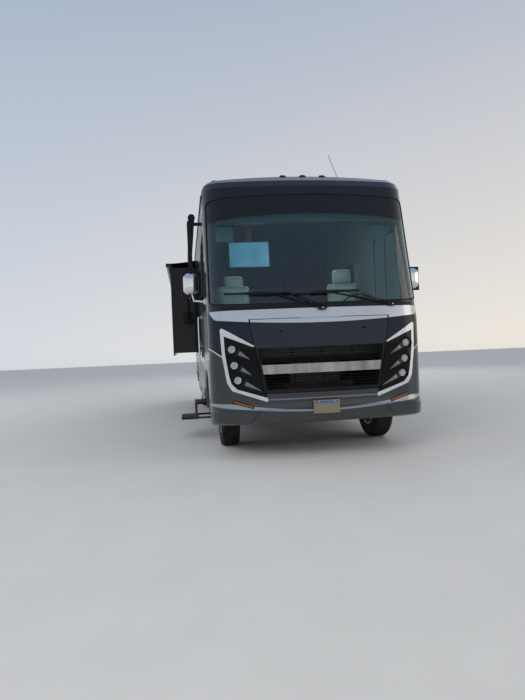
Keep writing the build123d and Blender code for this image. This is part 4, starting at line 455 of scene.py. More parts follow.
class NoseScheme(Scheme):
    """Paint scheme of the nose: light band on top, dark hood field, black pods, grey below, a pinstripe and a painted
    highlight along the bumper's ledge.
    """

    title = "Nose scheme"
    band = (0.50, 0.545, 0.59)
    field = (0.010, 0.015, 0.027)
    pod = (0.0012, 0.0012, 0.0018)
    lower = (0.060, 0.064, 0.068)
    # colour of the painted highlight along the bumper's up-facing ledge
    ledge_highlight = (0.34, 0.37, 0.40)
    pod_points = ((0.776, 1.298), (1.128, 1.510), (1.152, 1.496), (1.138, 1.184), (1.093, 0.885), (1.040, 0.795),
                  (0.645, 0.657))
    pod_inner = (0.752, 0.652)
    band_low, band_bow, band_corner, band_rise = 1.539, 0.045, (1.17, 1.262), 0.11
    hood_slope, hood_start, hood_low = 0.74, 0.342, 0.747
    pinstripe, pinstripe_start = 0.008, 1.12
    ledge_low, ledge_bow, ledge_top = 0.545, 0.068, 0.6495
    seam_slope, seam_start, seam_top = -0.817, 1.197, 0.573

    def draw(self, bench: NodeBench, given: dict[str, Any]) -> dict[str, Any]:
        """Draw the fields by their place seen from ahead."""
        across, _, height = bench.split(given["Place"])
        across = bench.maths("ABSOLUTE", across)
        square = bench.maths("MULTIPLY", across, across)
        band_edge = bench.maths("MULTIPLY_ADD", square, self.band_bow, self.band_low)
        corner = bench.maths("POWER", bench.spread(across, *self.band_corner), 2.4)
        band = bench.above(height, bench.maths("MULTIPLY_ADD", corner, self.band_rise, band_edge))
        hood_edge = bench.maths("MULTIPLY_ADD", across, self.hood_slope, self.hood_start)
        upper = bench.both(bench.above(height, hood_edge), bench.above(height, self.hood_low))
        pod = self.draw_pod(bench, across, height)
        stripe = bench.both(bench.below(bench.away(height, hood_edge), self.pinstripe),
                            bench.above(across, self.pinstripe_start))
        color = bench.blend(upper, rgba(self.lower), rgba(self.field))
        color = bench.blend(stripe, color, rgba(self.band))
        color = bench.blend(pod, color, rgba(self.pod))
        color = bench.blend(band, color, rgba(self.band))
        # painted highlight: a lighter stripe along the bumper's ledge, where the ledge faces up to the light
        ledge_line = bench.maths("MULTIPLY_ADD", square, self.ledge_bow, self.ledge_low)
        ledge_gap = bench.maths("SUBTRACT", bench.away(height, ledge_line), bench.maths("MULTIPLY", square, 0.015))
        ledge_highlight = bench.both(bench.below(ledge_gap, 0.010), bench.below(height, self.ledge_top))
        color = bench.blend(bench.maths("MULTIPLY", ledge_highlight, 0.85), color, rgba(self.ledge_highlight))
        seam_line = bench.maths("MULTIPLY_ADD", height, self.seam_slope, self.seam_start)
        seam = bench.both(bench.below(bench.away(across, seam_line), 0.0035), bench.below(height, self.seam_top))
        color = bench.blend(bench.maths("MULTIPLY", seam, 0.9), color, rgba(self.pod))
        silver = bench.maths("MAXIMUM", band, bench.without(upper))
        return {"Color": color, "Silver": bench.both(silver, bench.without(pod))}

    def draw_pod(self, bench: NodeBench, across: Any, height: Any) -> Any:
        """Return the mask of the lamp pods: inside each side of their outline, and off the nose's middle.

        Args:
            bench: the group's own bench.
            across: distance from the centre line.
            height: height over the floor.

        Returns:
            The mask's socket.
        """
        pod: Any = 1.0
        for (x0, z0), (x1, z1) in zip(self.pod_points, self.pod_points[1:]):
            run, rise = x1 - x0, z1 - z0
            reach = math.hypot(run, rise)
            slide = bench.maths("MULTIPLY", bench.maths("SUBTRACT", across, x0), rise / reach)
            lift = bench.maths("MULTIPLY", bench.maths("SUBTRACT", height, z0), run / reach)
            pod = bench.both(pod, bench.above(bench.maths("SUBTRACT", slide, lift), 0.004))
        low, inner = self.pod_inner
        return bench.both(pod, bench.maths("MAXIMUM", bench.above(height, low), bench.above(across, inner)))


class SideScheme(Scheme):
    """Paint scheme of the sides: black body, grey skirt and long silver sweeps that rise to the rear."""

    title = "Side scheme"
    body = (0.010, 0.0115, 0.0155)
    skirt = (0.075, 0.082, 0.09)
    silver = (0.40, 0.435, 0.47)
    lining = (0.34, 0.31, 0.27)
    skirt_rise, skirt_start = 0.012, 0.985
    inner_half, inner_end, inner_low = 1.258, 4.38, 1.16
    sweeps = ((0.0, 1.02, 0.055, 0.0155, 0.018, 1), (0.6, 1.16, 0.030, 0.0210, 0.010, 0),
              (2.6, 1.36, 0.020, 0.0330, 0.014, 1), (4.9, 1.75, 0.045, 0.0300, 0.012, 0))

    def draw(self, bench: NodeBench, given: dict[str, Any]) -> dict[str, Any]:
        """Draw each sweep as a parabola that widens and closes with length."""
        across, back, height = bench.split(given["Place"])
        along = bench.maths("SUBTRACT", back, FRONT)
        skirt = bench.below(height, bench.maths("MULTIPLY_ADD", along, self.skirt_rise, self.skirt_start))
        color = bench.blend(skirt, rgba(self.body), rgba(self.skirt))
        silver: Any = skirt
        for start, low, wide, curl, thin, bright in self.sweeps:
            reach = bench.maths("MAXIMUM", bench.maths("SUBTRACT", along, start), 0.0)
            line = bench.maths("MULTIPLY_ADD", bench.maths("MULTIPLY", reach, reach), curl, low)
            width = bench.maths("MULTIPLY_ADD", reach, thin, wide)
            off = bench.maths("SUBTRACT", bench.away(height, line), width)
            mask = bench.both(bench.below(off, 0.0), bench.above(along, start, 0.01))
            color = bench.blend(mask, color, rgba(self.silver if bright else self.skirt))
            silver = bench.maths("MAXIMUM", silver, mask)
        inside = bench.both(bench.below(bench.maths("ABSOLUTE", across), self.inner_half),
                            bench.below(back, self.inner_end), bench.above(height, self.inner_low))
        color = bench.blend(inside, color, rgba(self.lining))
        return {"Color": color, "Silver": bench.both(silver, bench.without(inside))}


class GrilleScheme(Scheme):
    """Black grille with a bright polished bar across its middle, streaked with smears and a painted reflection."""

    title = "Grille scheme"
    black = (0.0016, 0.0018, 0.002)
    bright = (0.56, 0.54, 0.50)
    # darker colour of the streaks on the bar: smears and a painted reflection
    smear_and_reflection_dark = (0.30, 0.29, 0.27)
    bar_low, bar_high = 0.9705, 1.0765

    def draw(self, bench: NodeBench, given: dict[str, Any]) -> dict[str, Any]:
        """Draw the bar by its height, with smears and a painted reflection streaked along it."""
        height = bench.split(given["Place"])[2]
        bar = bench.both(bench.above(height, self.bar_low), bench.below(height, self.bar_high))
        # streaks along the bar: brushing smears and a painted reflection of the scenery
        smears_and_painted_reflection = bench.noise(bench.stretched(given["Place"], (7.0, 0.5, 0.9)), 1.0, 4.0, 0.6)
        bright = bench.blend(bench.spread(smears_and_painted_reflection, 0.35, 0.65), rgba(self.smear_and_reflection_dark), rgba(self.bright))
        return {"Color": bench.blend(bar, rgba(self.black), bright), "Silver": bar}


GRAINS: dict[Surface, Effect] = {
    Surface.METAL: BrushedSkin(), Surface.CAST: CastSkin(), Surface.MOULDED: MouldedGrain(),
    Surface.CLOTH: ClothWeave(), Surface.LEATHER: LeatherGrain(), Surface.WOOD: WoodFigure(),
}
SCHEMES: dict[Surface, Effect] = {
    Surface.NOSE: NoseScheme(), Surface.SIDE: SideScheme(), Surface.GRILLE: GrilleScheme(),
}
RUST: Color = (0.16, 0.065, 0.025)
DUST: Color = (0.19, 0.172, 0.148)


def blank_material(name: str) -> tuple[bpy.types.Material, NodeBench, bpy.types.Node]:
    """Return a new material with its bench and its Principled shader."""
    material = bpy.data.materials.new(name)
    material.use_nodes = True
    shader = next(node for node in material.node_tree.nodes if node.type == "BSDF_PRINCIPLED")
    return material, NodeBench(material.node_tree), shader


class FinishShop:
    """Makes each finish's material once."""

    def __init__(self) -> None:
        """Start with no materials."""
        self.made: dict[str, bpy.types.Material] = {}

    def material(self, finish: Finish) -> bpy.types.Material:
        """Return a finish's material, made on its first use."""
        if finish.name not in self.made:
            material, bench, shader = blank_material(finish.name)
            if finish.surface is Surface.GLASS:
                self.glaze(bench, shader, finish)
            else:
                self.coat(bench, shader, finish)
            material.diffuse_color = rgba(finish.color)
            self.made[finish.name] = material
        return self.made[finish.name]

    def coat(self, bench: NodeBench, shader: bpy.types.Node, finish: Finish) -> None:
        """Set up an opaque finish.

        Args:
            bench: the material's bench.
            shader: its Principled shader.
            finish: what to make.
        """
        place = bench.place()
        metallic: Any = finish.metallic
        if finish.surface in (Surface.PAINT, *SCHEMES):
            color: Any = rgba(finish.color)
            if finish.surface is not Surface.PAINT:
                laid = SCHEMES[finish.surface].lay(bench, Place=place)
                color, metallic = laid["Color"], bench.maths("MULTIPLY", laid["Silver"], finish.metallic)
            film = PaintFilm().lay(bench, Place=place, Color=color, Flake=finish.shade)
            color, change, height = film["Color"], film["Roughness"], film["Height"]
        else:
            stretch = {Surface.METAL: (1, 0.04, 1), Surface.WOOD: (1, 0.12, 1)}.get(finish.surface, (1, 1, 1))
            grain = GRAINS[finish.surface].lay(bench, Place=bench.place(stretch), Scale=finish.grain)
            tone = bench.spread(grain["Shade"], 0.25, 0.75, 1 - finish.shade, 1 + finish.shade)
            color = bench.tint(rgba(finish.second or finish.color), tone)
            if finish.second:
                color = bench.blend(grain["Shade"], rgba(finish.color), color)
            height = grain["Height"]
            if finish.surface is Surface.CAST:
                color = bench.blend(bench.maths("MULTIPLY", grain["Rust"], 0.7), color, rgba(RUST))
                change = bench.maths("MULTIPLY", grain["Rust"], 0.25)
            else:
                change = grain["Roughness"]
        roughness = bench.maths("ADD", change, finish.roughness)
        if finish.dust:
            mask = RoadFilm().lay(bench, Place=place, Low=0.35, Top=finish.dust_top, Amount=finish.dust)["Mask"]
            color = bench.blend(mask, color, rgba(DUST))
            roughness = bench.maths("MULTIPLY_ADD", mask, 0.45, roughness)
            metallic = bench.both(bench.without(mask), metallic)
        bump = bench.add("ShaderNodeBump")
        bump.inputs["Distance"].default_value = finish.relief
        bench.feed(bump.inputs["Height"], height)
        bench.feed(shader.inputs["Base Color"], color)
        bench.feed(shader.inputs["Roughness"], roughness)
        bench.feed(shader.inputs["Metallic"], metallic)
        bench.feed(shader.inputs["Normal"], bump.outputs[0])
        shader.inputs["Specular IOR Level"].default_value = finish.specular
        shader.inputs["Coat Weight"].default_value = finish.coat
        shader.inputs["Coat Roughness"].default_value = 0.04
        if finish.glow:
            bench.feed(shader.inputs["Emission Color"], color)
            shader.inputs["Emission Strength"].default_value = finish.glow

    def glaze(self, bench: NodeBench, shader: bpy.types.Node, finish: Finish) -> None:
        """Set up a glass finish: tinted, clear in depth, with faint dust low down and a dark film on top.

        Args:
            bench: the material's bench.
            shader: its Principled shader.
            finish: what to make.
        """
        place = bench.place()
        color: Any = rgba(finish.color)
        tone = bench.spread(bench.noise(place, 2.0), 0.3, 0.7, 0.94, 1.04)
        color = bench.tint(color, tone)
        haze = RoadFilm().lay(bench, Place=place, Low=1.2, Top=finish.dust_top, Amount=finish.dust)["Mask"]
        if finish.second:
            across, _, height = bench.split(place)
            square = bench.maths("MULTIPLY", across, across)
            edge = bench.maths("MULTIPLY_ADD", square, -0.05, 2.862)
            shade = bench.above(height, edge, 0.006)
            lower = bench.both(bench.above(height, bench.maths("SUBTRACT", edge, 0.09), 0.03),
                               bench.below(height, edge, 0.006))
            color = bench.blend(bench.maths("MULTIPLY", lower, 0.45), color, rgba((0.16, 0.42, 0.36)))
            color = bench.blend(shade, color, rgba(finish.second))
        bench.feed(shader.inputs["Base Color"], color)
        bench.feed(shader.inputs["Roughness"], bench.maths("MULTIPLY_ADD", haze, 0.3, finish.roughness))
        shader.inputs["Transmission Weight"].default_value = 1.0
        shader.inputs["IOR"].default_value = 1.5
        if finish.glow:
            bench.feed(shader.inputs["Emission Color"], color)
            shader.inputs["Emission Strength"].default_value = finish.glow

    def dress(self, piece: bpy.types.Object, finish: Finish) -> None:
        """Give an object one finish all over."""
        piece.data.materials.clear()
        piece.data.materials.append(self.material(finish))
        for face in piece.data.polygons:
            face.material_index = 0


SHOP = FinishShop()

CAP_BLACK = Finish("cap_gloss_black", "upper_paint", Surface.PAINT, (0.0045, 0.0065, 0.0125), 0.16, 0.2, 0.7,
                   relief=0.00003, shade=0.25, dust=0.0, specular=0.1)
NOSE_PAINT = Finish("nose_paint", "nose_paint", Surface.NOSE, (0.02, 0.025, 0.03), 0.24, 0.6, 0.2,
                    relief=0.00001, shade=0.04, dust=0.0, specular=0.1)
BUMPER_PAINT = Finish("bumper_paint", "bumper_paint", Surface.NOSE, (0.1, 0.1, 0.11), 0.26, 0.6, 0.4,
                      relief=0.00001, shade=0.03, dust=0.015, dust_top=0.8, specular=0.1)
HOOD_PAINT = Finish("hood_paint", "hood_paint", Surface.NOSE, (0.02, 0.025, 0.03), 0.2, 0.6, 0.45,
                    relief=0.00003, shade=0.2, dust=0.0, specular=0.1)
SIDE_PAINT = Finish("side_paint", "side_paint", Surface.SIDE, (0.02, 0.02, 0.025), 0.22, 0.6, 0.2,
                    relief=0.00003, shade=0.2, dust=0.3, dust_top=1.2, specular=0.1)
SLIDE_PAINT = Finish("slide_gloss_black", "side_paint", Surface.PAINT, (0.004, 0.0045, 0.006), 0.22, 0.1, 0.4,
                     relief=0.00003, shade=0.2, dust=0.05, dust_top=1.9, specular=0.1)
ROOF_SKIN = Finish("roof_membrane", "roof_skin", Surface.MOULDED, (0.30, 0.31, 0.32), 0.55, grain=160, relief=0.0004,
                   dust=0.0)
GRILLE_SCHEME = Finish("grille_scheme", "grille_black", Surface.GRILLE, (0.002, 0.002, 0.002), 0.16, 1.0, 0.0,
                       relief=0.00003, shade=0.06, dust=0.0, specular=0.12)
GRILLE_BLACK = Finish("grille_black", "grille_black", Surface.MOULDED, (0.003, 0.003, 0.0035), 0.32, coat=0.2,
                      grain=500, relief=0.0001, dust=0.1, dust_top=1.2)
TRIM_SILVER = Finish("trim_silver", "trim_silver", Surface.METAL, (0.56, 0.585, 0.61), 0.26, 0.35, 0.6, grain=300,
                     relief=0.00003, shade=0.05, dust=0.0)
LAMP_CHROME = Finish("lamp_bowl", "lamp_glass", Surface.METAL, (0.82, 0.83, 0.84), 0.07, 1.0, grain=200,
                     relief=0.00005, shade=0.04, dust=0.0)
LAMP_GLASS = Finish("lamp_glass", "lamp_glass", Surface.GLASS, (0.93, 0.95, 0.97), 0.02, dust=0.15, dust_top=1.6)
POD_BLACK = Finish("pod_gloss_black", "nose_paint", Surface.PAINT, (0.0012, 0.0012, 0.0016), 0.12, 0.0, 0.4,
                   relief=0.00004, shade=0.1, dust=0.05, dust_top=1.3, specular=0.1)
WEDGE_SILVER = Finish("wedge_silver", "trim_silver", Surface.METAL, (0.17, 0.19, 0.22), 0.2, 0.8, 0.6, grain=300,
                      relief=0.00003, shade=0.05, dust=0.1, dust_top=1.0)
AMBER = Finish("amber_lens", "amber_lens", Surface.PAINT, (0.26, 0.060, 0.012), 0.12, 0.0, 0.6, relief=0.0002,
               shade=0.1, dust=0.15, dust_top=0.9)
MARKER_AMBER = Finish("marker_amber", "amber_lens", Surface.PAINT, (0.035, 0.012, 0.006), 0.15, 0.0, 0.6,
                      relief=0.0002, shade=0.1, dust=0.0)
RED = Finish("red_lens", "red_lens", Surface.PAINT, (0.24, 0.006, 0.005), 0.12, 0.0, 0.6, relief=0.0002,
             shade=0.1, dust=0.25, dust_top=1.4)
SCREEN_GLASS = Finish("windshield_glass", "tinted_glass", Surface.GLASS, (0.41, 0.74, 0.85), 0.0, dust=0.08,
                      dust_top=2.3, second=(0.004, 0.006, 0.010))
SIDE_GLASS = Finish("side_glass", "tinted_glass", Surface.GLASS, (0.10, 0.115, 0.12), 0.0, dust=0.1, dust_top=2.4)
UNDERBODY = Finish("underbody", "underbody", Surface.MOULDED, (0.018, 0.018, 0.018), 0.7, grain=220, relief=0.0006,
                   dust=0.7, dust_top=1.4)
CHASSIS_BLACK = Finish("chassis_black", "chassis_black", Surface.CAST, (0.014, 0.014, 0.014), 0.5, 0.3, grain=240,
                       relief=0.0003, dust=0.6, dust_top=1.3)
AXLE_IRON = Finish("axle_iron", "axle_iron", Surface.CAST, (0.04, 0.037, 0.034), 0.55, 0.6, grain=160, relief=0.0006,
                   dust=0.6, dust_top=1.2)
ENGINE_IRON = Finish("engine_iron", "engine_iron", Surface.CAST, (0.055, 0.055, 0.055), 0.5, 0.6, grain=160,
                     relief=0.0006, dust=0.4, dust_top=1.4)
RIM_STEEL = Finish("rim_bright", "rim_bright", Surface.METAL, (0.60, 0.61, 0.62), 0.22, 1.0, grain=260,
                   relief=0.00005, shade=0.08, dust=0.35, dust_top=1.0)
TYRE_RUBBER = Finish("tyre_rubber", "tyre_black", Surface.MOULDED, (0.005, 0.005, 0.0052), 0.62, grain=420,
                     relief=0.0002, shade=0.25, dust=0.22, dust_top=0.9, specular=0.2)
TANK_BLACK = Finish("tank_black", "tank_black", Surface.MOULDED, (0.012, 0.012, 0.012), 0.5, grain=260,
                    relief=0.0004, dust=0.5, dust_top=1.0)
EXHAUST_STEEL = Finish("exhaust_steel", "exhaust_steel", Surface.CAST, (0.22, 0.20, 0.18), 0.42, 0.9, grain=120,
                       relief=0.0002, dust=0.5, dust_top=1.0)
TOPPER_CLOTH = Finish("topper_fabric", "topper_fabric", Surface.CLOTH, (0.012, 0.012, 0.014), 0.62, grain=420,
                      relief=0.0003, dust=0.0)
AWNING_BLACK = Finish("awning_black", "awning_black", Surface.MOULDED, (0.0045, 0.0045, 0.005), 0.34, grain=420,
                      relief=0.0001, dust=0.0)
MIRROR_CHROME = Finish("mirror_chrome", "mirror_bright", Surface.METAL, (0.80, 0.81, 0.82), 0.06, 1.0, grain=200,
                       relief=0.00002, shade=0.04, dust=0.0)
WIPER_BLACK = Finish("wiper_black", "wiper_black", Surface.MOULDED, (0.005, 0.005, 0.005), 0.38, grain=500,
                     relief=0.0001, dust=0.0)
UNIT_PLASTIC = Finish("unit_plastic", "unit_plastic", Surface.MOULDED, (0.035, 0.036, 0.04), 0.45, grain=300,
                      relief=0.0003, dust=0.0)
LADDER_BRIGHT = Finish("ladder_bright", "ladder_bright", Surface.METAL, (0.55, 0.56, 0.57), 0.25, 1.0, grain=300,
                       relief=0.00005, dust=0.1, dust_top=1.5)
DASH_PLASTIC = Finish("dash_plastic", "dash_plastic", Surface.MOULDED, (0.11, 0.112, 0.115), 0.55, grain=260,
                      relief=0.0004, dust=0.0)
SEAT_LEATHER = Finish("seat_leather", "seat_leather", Surface.LEATHER, (0.42, 0.36, 0.29), 0.48, grain=260,
                      relief=0.0005, dust=0.0)
SEAT_STEEL = Finish("seat_steel", "seat_steel", Surface.METAL, (0.03, 0.03, 0.032), 0.4, 0.6, grain=300, dust=0.0)
CABINET_WOOD = Finish("cabinet_wood", "cabinet_wood", Surface.WOOD, (0.10, 0.045, 0.02), 0.3, coat=0.5, grain=6.0,
                      relief=0.0001, shade=0.3, dust=0.0)
STEP_STEEL = Finish("step_steel", "step_steel", Surface.METAL, (0.008, 0.008, 0.008), 0.42, 0.5, grain=300,
                    dust=0.5, dust_top=0.8)
RUBBER = Finish("seal_rubber", "wiper_black", Surface.MOULDED, (0.006, 0.006, 0.0065), 0.5, grain=500,
                relief=0.0001, dust=0.0)
PLATE_TAN = Finish("plate_paint", "trim_silver", Surface.PAINT, (0.21, 0.175, 0.11), 0.4, 0.0, 0.3, relief=0.00005,
                   shade=0.1, dust=0.2, dust_top=0.9)
PLATE_BLUE = Finish("plate_band", "trim_silver", Surface.PAINT, (0.03, 0.13, 0.30), 0.4, 0.0, 0.3, relief=0.00005,
                    shade=0.1, dust=0.2, dust_top=0.9)
# painted light: a blank screen made to glow, brightening the cab behind the windshield
SCREEN_PAINTED_GLOW = Finish("screen_painted_glow", "dash_plastic", Surface.MOULDED, (0.10, 0.20, 0.26), 0.3, grain=8, relief=0.0,
                    shade=0.25, dust=0.0, glow=0.75)
WELT_LEATHER = Finish("welt_leather", "seat_leather", Surface.LEATHER, (0.27, 0.22, 0.17), 0.5, grain=500,
                      relief=0.0003, dust=0.0)
VISOR_CLOTH = Finish("visor_cloth", "seat_leather", Surface.CLOTH, (0.22, 0.24, 0.205), 0.7, grain=300, dust=0.0)

CAD_FINISHES: dict[str, Finish] = {
    "front_cap": CAP_BLACK, "front_mask": NOSE_PAINT, "bumper": BUMPER_PAINT, "hood": HOOD_PAINT,
    "side_walls": SIDE_PAINT, "rear_cap": SIDE_PAINT, "entry_door": SIDE_PAINT, "slide_left": SLIDE_PAINT,
    "slide_right": SLIDE_PAINT, "roof": ROOF_SKIN, "grille": GRILLE_SCHEME, "lamp_trims": TRIM_SILVER,
    "headlamps": POD_BLACK, "amber_lamps": AMBER, "red_lamps": RED, "windshield": SCREEN_GLASS,
    "side_glass": SIDE_GLASS, "slide_glass_left": SIDE_GLASS, "slide_glass_right": SIDE_GLASS,
    "entry_door_glass": SIDE_GLASS, "floor": UNDERBODY, "baggage_bays": UNDERBODY, "housings": UNDERBODY,
    "chassis_frame": CHASSIS_BLACK, "leaf_springs": CHASSIS_BLACK, "axles": AXLE_IRON, "knuckle_left": AXLE_IRON,
    "knuckle_right": AXLE_IRON, "tie_rod": AXLE_IRON, "driveline": ENGINE_IRON, "fuel_tank": TANK_BLACK,
    "exhaust": EXHAUST_STEEL, "topper_left": TOPPER_CLOTH, "topper_right": TOPPER_CLOTH, "awning": AWNING_BLACK,
    "mirrors": MIRROR_CHROME, "wipers": WIPER_BLACK, "roof_units": UNIT_PLASTIC, "ladder": LADDER_BRIGHT,
    "dashboard": DASH_PLASTIC, "seats": SEAT_LEATHER, "seat_bases": SEAT_STEEL, "overhead_cabinet": CABINET_WOOD,
}
PREFIX_FINISHES: dict[str, Finish] = {
    "bay_door": SIDE_PAINT, "rim": RIM_STEEL, "tyre": TYRE_RUBBER, "step": STEP_STEEL,
}


def finish_nodes() -> None:
    """Give every CAD node its finish."""
    for name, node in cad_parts.items():
        prefix = next((start for start in PREFIX_FINISHES if name.startswith(start)), "")
        SHOP.dress(node, CAD_FINISHES.get(name) or PREFIX_FINISHES[prefix])


def clear_selection() -> None:
    """Leave edit mode and deselect everything."""
    if bpy.context.object and bpy.context.object.mode != "OBJECT":
        bpy.ops.object.mode_set(mode="OBJECT")
    bpy.ops.object.select_all(action="DESELECT")


def take(piece: bpy.types.Object) -> None:
    """Select one object alone and make it active."""
    clear_selection()
    piece.select_set(True)
    bpy.context.view_layer.objects.active = piece


def settle_place(piece: bpy.types.Object) -> None:
    """Put an object's place, turn and size into its mesh."""
    take(piece)
    bpy.ops.object.transform_apply(location=True, rotation=True, scale=True)


def named(name: str) -> bpy.types.Object:
    """Name the active object, settle its place and return it."""
    piece = bpy.context.object
    piece.name = name
    piece.data.name = name
    settle_place(piece)
    return piece


def block(name: str, low: Point, high: Point) -> bpy.types.Object:
    """Add a cube between two corners."""
    clear_selection()
    low, high = Vector(low), Vector(high)
    bpy.ops.mesh.primitive_cube_add(size=1, location=(low + high) / 2, scale=high - low)
    return named(name)


def rod(name: str, start: Point, end: Point, radius: float, sides: int = 20) -> bpy.types.Object:
    """Add a cylinder between two points."""
    clear_selection()
    start, end = Vector(start), Vector(end)
    bpy.ops.mesh.primitive_cylinder_add(
        vertices=sides, radius=radius, depth=(end - start).length, location=(start + end) / 2,
        rotation=(end - start).to_track_quat("Z", "Y").to_euler(),
    )
    return named(name)


def edit_all() -> None:
    """Enter edit mode with everything selected."""
    bpy.ops.object.mode_set(mode="EDIT")
    bpy.ops.mesh.select_all(action="SELECT")


def leave() -> None:
    """Leave edit mode."""
    bpy.ops.object.mode_set(mode="OBJECT")


def turned(name: str, profile: Sequence[Point], centre: Point, way: Point, steps: int = 40) -> bpy.types.Object:
    """Spin a closed profile round an axis.

    Args:
        name: the piece's name.
        profile: points as (along the axis, radius).
        centre: a point on the axis, where along is 0.
        way: the axis's direction.
        steps: how many copies make the round.

    Returns:
        The turned piece.
    """
    clear_selection()
    axis = Vector(way).normalized()
    side = axis.orthogonal().normalized()
    bpy.ops.mesh.primitive_circle_add(vertices=len(profile), radius=1)
    piece = bpy.context.object
    for vertex, (along, radius) in zip(piece.data.vertices, profile):
        vertex.co = Vector(centre) + axis * along + side * radius
    edit_all()
    bpy.ops.mesh.spin(steps=steps, angle=math.tau, center=centre, axis=axis)
    bpy.ops.mesh.select_all(action="SELECT")
    bpy.ops.mesh.remove_doubles(threshold=1e-5)
    bpy.ops.mesh.dissolve_degenerate(threshold=1e-6)
    bpy.ops.mesh.delete_loose()
    bpy.ops.mesh.select_all(action="SELECT")
    bpy.ops.mesh.normals_make_consistent(inside=False)
    leave()
    return named(name)


def pick(piece: bpy.types.Object, test: Callable[[Vector, Vector], bool]) -> int:
    """Enter edit mode and select the faces whose middle and normal pass a test.

    Args:
        piece: the object.
        test: says if a face is wanted.

    Returns:
        How many faces are selected.
    """
    take(piece)
    bpy.ops.object.mode_set(mode="EDIT")
    bpy.ops.mesh.select_mode(type="FACE")
    bpy.ops.mesh.select_all(action="DESELECT")
    mesh = bmesh.from_edit_mesh(piece.data)
    count = 0
    for face in mesh.faces:
        wanted = test(face.calc_center_median(), face.normal)
        face.select_set(wanted)
        count += wanted
    bmesh.update_edit_mesh(piece.data)
    return count


def pick_way(piece: bpy.types.Object, way: Point, limit: float = 0.9) -> None:
    """Enter edit mode and select the faces that look one way."""
    pick(piece, lambda middle, normal: normal.dot(Vector(way)) > limit)


def tapered(piece: bpy.types.Object, way: Point, factors: Point, centre: Point) -> None:
    """Shrink the face that looks one way towards a centre."""
    pick_way(piece, way)
    bpy.ops.transform.resize(value=factors, center_override=centre)
    leave()


def panelled(piece: bpy.types.Object, way: Point, rim: float, move: Point, limit: float = 0.9) -> None:
    """Inset the face that looks one way and move its middle in a soft step."""
    pick_way(piece, way, limit)
    bpy.ops.mesh.inset(thickness=rim)
    bpy.ops.transform.translate(value=move)
    leave()


def recessed(piece: bpy.types.Object, way: Point, rim: float, move: Point, limit: float = 0.9) -> None:
    """Inset the face that looks one way and sink its middle with upright walls."""
    pick_way(piece, way, limit)
    bpy.ops.mesh.inset(thickness=rim)
    bpy.ops.mesh.extrude_region_move(TRANSFORM_OT_translate={"value": move})
    leave()


def work(piece: bpy.types.Object, kind: str, **settings: Any) -> None:
    """Add a modifier, set it up and apply it."""
    take(piece)
    modifier = piece.modifiers.new(kind.lower(), kind)
    for name, value in settings.items():
        setattr(modifier, name, value)
    bpy.ops.object.modifier_apply(modifier=modifier.name)


def soften(piece: bpy.types.Object, width: float, segments: int = 3, angle: float = 30) -> None:
    """Round the piece's sharp edges."""
    work(piece, "BEVEL", width=width, segments=segments, limit_method="ANGLE", angle_limit=math.radians(angle),
         harden_normals=False)


def soft_block(
    name: str, low: Point, high: Point, width: float, segments: int = 3, angle: float = 30
) -> bpy.types.Object:
    """Return a box between two corners with rounded edges."""
    piece = block(name, low, high)
    soften(piece, width, segments, angle)
    return piece


def joined(name: str, pieces: Sequence[bpy.types.Object]) -> bpy.types.Object:
    """Join several objects into one."""
    clear_selection()
    for piece in pieces:
        piece.select_set(True)
    bpy.context.view_layer.objects.active = pieces[0]
    if len(pieces) > 1:
        bpy.ops.object.join()
    return named(name)


def mirrored(piece: bpy.types.Object) -> bpy.types.Object:
    """Return a copy of the piece with its own mesh on the other side of the centre line."""
    copy = bpy.data.objects.new(piece.name + "_twin", piece.data.copy())
    bpy.context.scene.collection.objects.link(copy)
    copy.data.transform(Matrix.Scale(-1, 4, (1, 0, 0)))
    copy.data.flip_normals()
    return copy


def shifted(piece: bpy.types.Object, offset: Point) -> bpy.types.Object:
    """Return a copy of the piece with its own mesh, moved."""
    copy = bpy.data.objects.new(piece.name + "_copy", piece.data.copy())
    bpy.context.scene.collection.objects.link(copy)
    copy.data.transform(Matrix.Translation(Vector(offset)))
    return copy


def finished(
    piece: bpy.types.Object, finish: Finish, body: str = "coach", stands_for: Iterable[str] = (), smooth: float = 35
) -> bpy.types.Object:
    """Shade and dress a piece, and attach it to its body.

    Args:
        piece: the object.
        finish: its finish.
        body: the CAD body it rides on.
        stands_for: CAD nodes that it replaces.
        smooth: edges under this angle are shaded smooth, in degrees.

    Returns:
        The same object.
    """
    settle_place(piece)
    bpy.ops.object.shade_smooth_by_angle(angle=math.radians(smooth))
    if not piece.data.materials:
        SHOP.dress(piece, finish)
    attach(piece, body)
    if stands_for:
        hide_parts(*stands_for)
    log.info("%s rides on %s, %d faces", piece.name, body, len(piece.data.polygons))
    return piece


def both_sides(
    name: str, made: Sequence[bpy.types.Object], finish: Finish, stands_for: Iterable[str] = ()
) -> bpy.types.Object:
    """Join the pieces of one side, mirror them and finish both sides as one piece."""
    half = joined(name + "_half", made)
    return finished(joined(name, [half, mirrored(half)]), finish, stands_for=stands_for)


def beaded(name: str, radius: float) -> bpy.types.Object:
    """Turn the edges of the active object into round beads."""
    bpy.ops.object.convert(target="CURVE")
    curve = bpy.context.object.data
    curve.bevel_depth = radius
    curve.bevel_resolution = 2
    bpy.ops.object.convert(target="MESH")
    return named(name)


